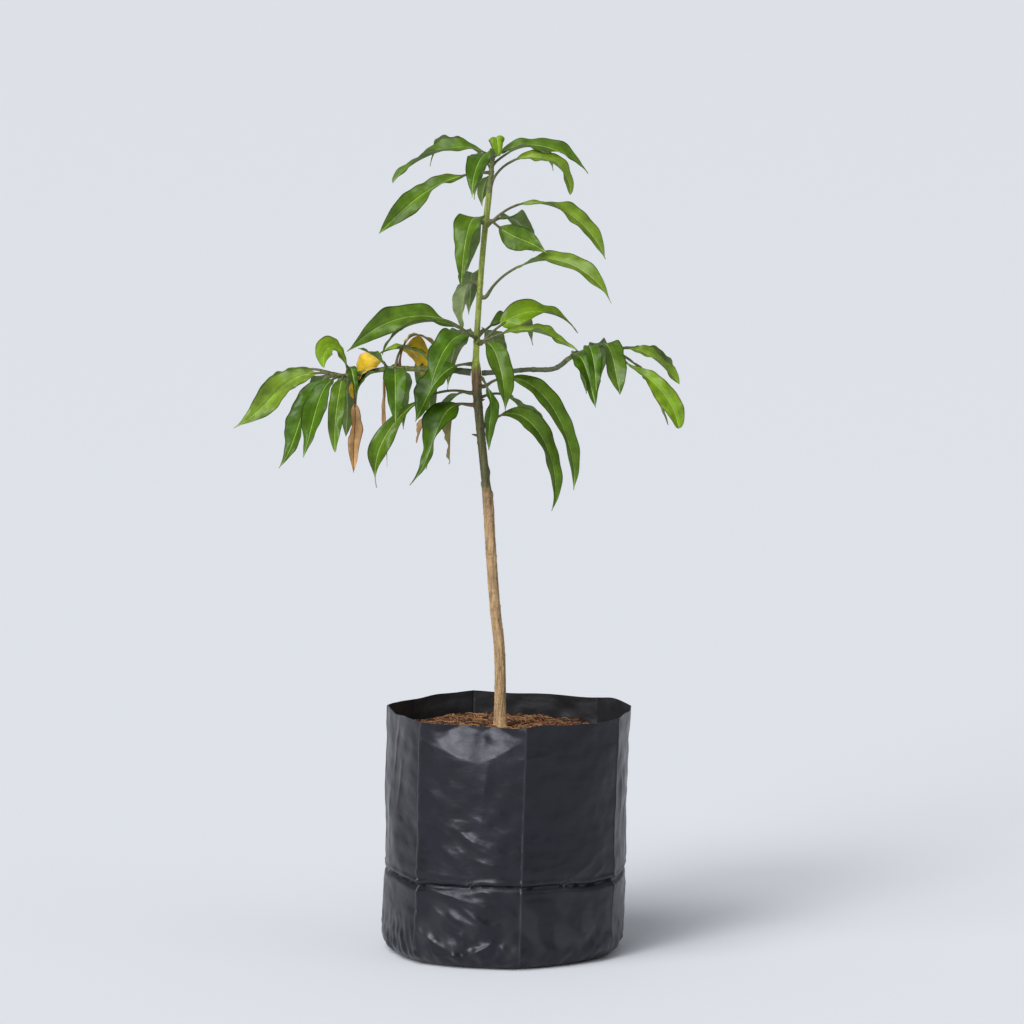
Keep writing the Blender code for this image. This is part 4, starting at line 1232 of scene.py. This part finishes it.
def blade_rings(leaf, root, rng, wave):
    """The rings of one blade and the finish of each face.

    Across, each half is an arc: it leaves the midrib at the fold's angle and turns by `curl`
    before it reaches the margin, so its width and lift are the integrals of the cosine and
    the sine of that angle. The margins wave by a long and a short sine along the blade,
    which grow with the square of the distance from the midrib, the midrib sways and turns a
    little, and the face is quilted between the side veins.
    """
    even = np.linspace(0, 1, BLADE_ROWS)
    share = 0.7 * even + 0.15 * (1 - np.cos(math.pi * even))
    points, directions = leaf_curve(root, leaf, leaf.petiole + (1 - leaf.petiole) * share)
    least = np.interp(share, (0, 1), (STALK_RADIUS, TIP_HALF_WIDTH))
    half = np.maximum(blade_half_width(leaf, share), least)
    level = compass(leaf.heading + 90, 0)
    over = np.cross(directions, level)
    turn = BLADE_TWIST * np.sin(2 * math.pi * (1.3 * share + rng.uniform())) * np.clip(3 * share, 0, 1)
    roll = np.radians(leaf.roll[0] + (leaf.roll[1] - leaf.roll[0]) * share + turn)[:, None]
    across = np.cos(roll) * level + np.sin(roll) * over
    up = np.cos(roll) * over - np.sin(roll) * level
    strip = np.minimum(MIDRIB_HALF_WIDTH / half, 0.4)[:, None]
    right = strip + (1 - strip) * np.linspace(0, 1, BLADE_HALF_COLUMNS)
    side = np.concatenate([right[:, ::-1], np.zeros_like(strip), -right], axis=1)
    out = np.abs(side)
    share, half = share[:, None], half[:, None]
    fold = math.radians(BLADE_FOLD) * np.clip(4 * share, 0, 1)
    curl = math.radians(leaf.curl if abs(leaf.curl) > 1 else 1)
    wide = half * np.sign(side) * (np.sin(fold + curl * out) - np.sin(fold)) / curl
    lift = half * (np.cos(fold) - np.cos(fold + curl * out)) / curl
    run = np.concatenate([[0], np.cumsum(np.linalg.norm(np.diff(points, axis=0), axis=1))])[:, None]
    size = min(1, run[-1, 0] / FULL_LENGTH)
    room = wave * size * np.clip(np.sin(math.pi * share), 0, 1) ** 0.6 * out**2
    for sign in (-1, 1):
        for cycles, part in ((rng.uniform(1.4, 2.6), 1.7), (rng.uniform(4, 7), 0.45)):
            swing = np.sin(2 * math.pi * (cycles * share + rng.uniform()))
            lift = lift + np.where(np.sign(side) == sign, part * room * swing, 0)
    wide = wide + BLADE_SWAY * size * rng.uniform(-1, 1) * np.sin(2 * math.pi * share)
    from_rib = out * half
    vein = (run - 0.6 * from_rib - 0.014 * from_rib**2) / VEIN_SPACING
    quilt = QUILT_DEPTH * np.cos(2 * math.pi * vein) * np.clip(from_rib / 3, 0, 1)
    lift = lift + quilt * (1 - out**4)
    if leaf.kind in DRIED_KINDS:
        spots = np.stack(np.broadcast_arrays(run, side * half, 0 * side), -1)
        lift = lift + SHRIVEL * out * ripple(spots, 11, rng.integers(1000))
    groove = 0.22 * bell(from_rib, 0.7)
    rib = 0.9 * (1 - 0.7 * share) * bell(from_rib, 1.0)
    thick = BLADE_THICKNESS * (1 - out**8)
    middle = points[:, None] + wide[..., None] * across[:, None]
    top = middle + (lift + thick / 2 - groove)[..., None] * up[:, None]
    under = middle + (lift - thick / 2 - rib)[..., None] * up[:, None]
    columns = BLADE_HALF_COLUMNS
    places = np.full((BLADE_ROWS - 1, 4 * columns), UNDER)
    places[:, : 2 * columns] = TOP
    places[:, columns - 4 : columns + 4] = INNER
    places[:, columns - 1 : columns + 1] = RIB
    places[:, 3 * columns - 1 : 3 * columns + 1] = RIB
    places[:, [0, 2 * columns - 1]] = MARGIN
    return np.concatenate([top, under[:, -2:0:-1]], axis=1), places


# Which joined piece a leaf goes to: by its kind, and a grown one by the first word of its mass
# the lime leaves, whose green paints in the glow of light shining through them, make the young piece
LEAF_PIECES = {"lime": "young", "yellow": "yellow", "faded": "dried", "dry": "dried"}
LEAF_REGIONS = {"tip": "upper", "upper": "upper", "middle": "upper", "right": "right", "left": "left"}


class MANGO_OT_leaves(bpy.types.Operator):
    """Make the leaf blades: mature, young, yellow and dried, each kind joined"""

    bl_idname = "mango.leaves"
    bl_label = "Leaves"

    def make_finishes(self, settings):
        """The finishes of each kind of leaf, in the order of its places."""
        under = leaf_face("leaf_underside", settings.underside, 0.6, 0)
        rib = leaf_face("leaf_midrib", settings.midrib, 0.5, 0.05)
        yellow = leaf_face("leaf_yellowed", settings.yellow, 0.5, 0.05)
        tan = leaf_face("leaf_dried_tan", settings.tan, 0.75, 0)
        faded = leaf_face("leaf_faded_olive", settings.faded, 0.6, 0.05)
        dull = leaf_face("leaf_dull_bloom", settings.dull, 0.55, 0.05)
        brown = leaf_face("leaf_dried_brown", settings.brown, 0.8, 0)
        finishes = {
            "dull": (dull, dull, rib, under, dull),
            "yellow": (yellow, yellow, tan, tan, yellow),
            "faded": (faded, faded, tan, brown, tan),
            "dry": (tan, tan, brown, brown, tan),
        }
        for kind in ("deep", "mature", "bright", "lime"):
            green = getattr(settings, kind)
            # the lime tops paint in the glow of light shining through the young blades
            edge = settings.lime_margin if kind == "lime" else shade(green, 0.5)
            top = leaf_face(f"leaf_top_{kind}", green, 0.36, 0.12)
            margin = leaf_face(f"leaf_margin_{kind}", edge, 0.45, 0.05)
            heart = leaf_face(f"leaf_heart_{kind}", shade(green, 1.2), 0.36, 0.12)
            finishes[kind] = (top, under, rib, margin, heart)
        return finishes

    def execute(self, context):
        settings = context.scene.mango_tree.leaf
        finishes = self.make_finishes(settings)
        pieces, replaced = {}, {}
        for number, (mass, leaf, root, _) in enumerate(rooted_leaves()):
            kind = LEAF_PIECES.get(leaf.kind, "mature")
            name = f"{kind}_leaves"
            if kind == "mature":
                name = f"mature_leaves_{LEAF_REGIONS.get(mass.split('_')[0], 'whorl')}"
                replaced.setdefault(name, set()).add(mass)
            blades, used = pieces.setdefault(name, (Gathered(), []))
            for finish in finishes[leaf.kind]:
                if finish not in used:
                    used.append(finish)
            index = np.array([used.index(finish) for finish in finishes[leaf.kind]])
            rng = np.random.default_rng((81, number))
            rings, places = blade_rings(leaf, root, rng, settings.wave / MM)
            blades.tube(rings, index[places])
        slots = {"yellow_leaves": "leaf_yellow", "dried_leaves": "leaf_dry"}
        for name, (blades, used) in pieces.items():
            piece = blades.build(name, used, sharp_angle=60)
            place(piece, slots.get(name, "leaf"), *sorted(replaced.get(name, ())))
        return {"FINISHED"}


# The stage

FLOOR_RADII = (0.12, 1.2, 6.0, 60.0)  # metres, so that the floor fills the camera's view
FLOOR_THICKNESS = 0.02
FLOOR_SIDES = 96


class MANGO_OT_stage(bpy.types.Operator):
    """Lay the pale floor, hang the soft lights and stand the camera where the photograph's was"""

    bl_idname = "mango.stage"
    bl_label = "Stage"

    def execute(self, context):
        settings = context.scene.mango_tree.stage
        self.make_floor(settings)
        self.make_lights(context, settings)
        data = bpy.data.cameras.new("photograph_camera")
        data.sensor_width = SENSOR_WIDTH
        data.lens = SENSOR_WIDTH / 2 / math.tan(math.radians(CAMERA_FIELD) / 2)
        data.clip_end = 200
        camera = bpy.data.objects.new("photograph_camera", data)
        camera.location = CAMERA_PLACE
        camera.rotation_euler = (math.radians(90 - CAMERA_TILT_DOWN), 0, 0)
        context.scene.collection.objects.link(camera)
        context.scene.camera = camera
        context.scene.view_settings.view_transform = "Standard"
        return {"FINISHED"}

    def make_floor(self, settings):
        """A thin flat disc of plain painted board, which shows only a faint grain."""
        turns, radii = circle_turns(FLOOR_SIDES), np.array(FLOOR_RADII)[:, None]
        top = np.stack([radii * np.cos(turns), radii * np.sin(turns), 0 * radii * turns], -1)
        noises, relief = ((3, 1, 4, 0.55),), (0, 0.05, 0.3)
        material = start_material("pale_seamless_floor", settings.floor, 0.7, noises, relief=relief)[0]
        slab = Gathered().tube(np.concatenate([top - (0, 0, FLOOR_THICKNESS), top[::-1]]) / MM)
        slab.build("stage_floor", [material])

    def make_lights(self, context, settings):
        """A pale sky and three broad suns, each with its turn, strength and width in degrees."""
        world = bpy.data.worlds.new("soft_studio")
        world.use_nodes = True
        sky = world.node_tree.nodes["Background"]
        sky.inputs["Color"].default_value = (0.93, 0.96, 1.0, 1)
        sky.inputs["Strength"].default_value = settings.fill
        context.scene.world = world
        for name, turn, strength, width in (
            ("key_light", (36, 0, -42), settings.key, 40),
            ("window_light", (69, 0, -36), settings.window, 22),
            ("side_light", (62, 0, 62), settings.key * 0.12, 50),
        ):
            data = bpy.data.lights.new(name, "SUN")
            data.energy = strength
            data.angle = math.radians(width)
            lamp = bpy.data.objects.new(name, data)
            lamp.rotation_euler = [math.radians(part) for part in turn]
            context.scene.collection.objects.link(lamp)


OPERATORS = (
    MANGO_OT_grow_bag,
    MANGO_OT_potting_mix,
    MANGO_OT_trunk,
    MANGO_OT_boughs,
    MANGO_OT_stems,
    MANGO_OT_leaves,
    MANGO_OT_stage,
)


class MANGO_PT_tree(bpy.types.Panel):
    """Lists the settings and the operators that make each piece"""

    bl_idname = "MANGO_PT_tree"
    bl_label = "Mango Tree"
    bl_space_type = "VIEW_3D"
    bl_region_type = "UI"
    bl_category = "Mango Tree"

    def draw(self, context):
        settings = context.scene.mango_tree
        for group in (settings.bag, settings.mix, settings.bark, settings.leaf, settings.stage):
            box = self.layout.box()
            for name in group.__annotations__:
                box.prop(group, name)
        for operator in OPERATORS:
            self.layout.operator(operator.bl_idname)


CLASSES = (
    GrowBagSettings,
    PottingMixSettings,
    BarkSettings,
    LeafSettings,
    StageSettings,
    MangoTreeSettings,
    *OPERATORS,
    MANGO_PT_tree,
)


def register():
    for cls in CLASSES:
        bpy.utils.register_class(cls)
    bpy.types.Scene.mango_tree = PointerProperty(type=MangoTreeSettings)


def unregister():
    del bpy.types.Scene.mango_tree
    for cls in reversed(CLASSES):
        bpy.utils.unregister_class(cls)


def main():
    register()
    bpy.ops.mango.grow_bag()
    bpy.ops.mango.potting_mix()
    bpy.ops.mango.trunk()
    bpy.ops.mango.boughs()
    bpy.ops.mango.stems()
    bpy.ops.mango.leaves()
    bpy.ops.mango.stage()


if __name__ == "__main__":
    main()
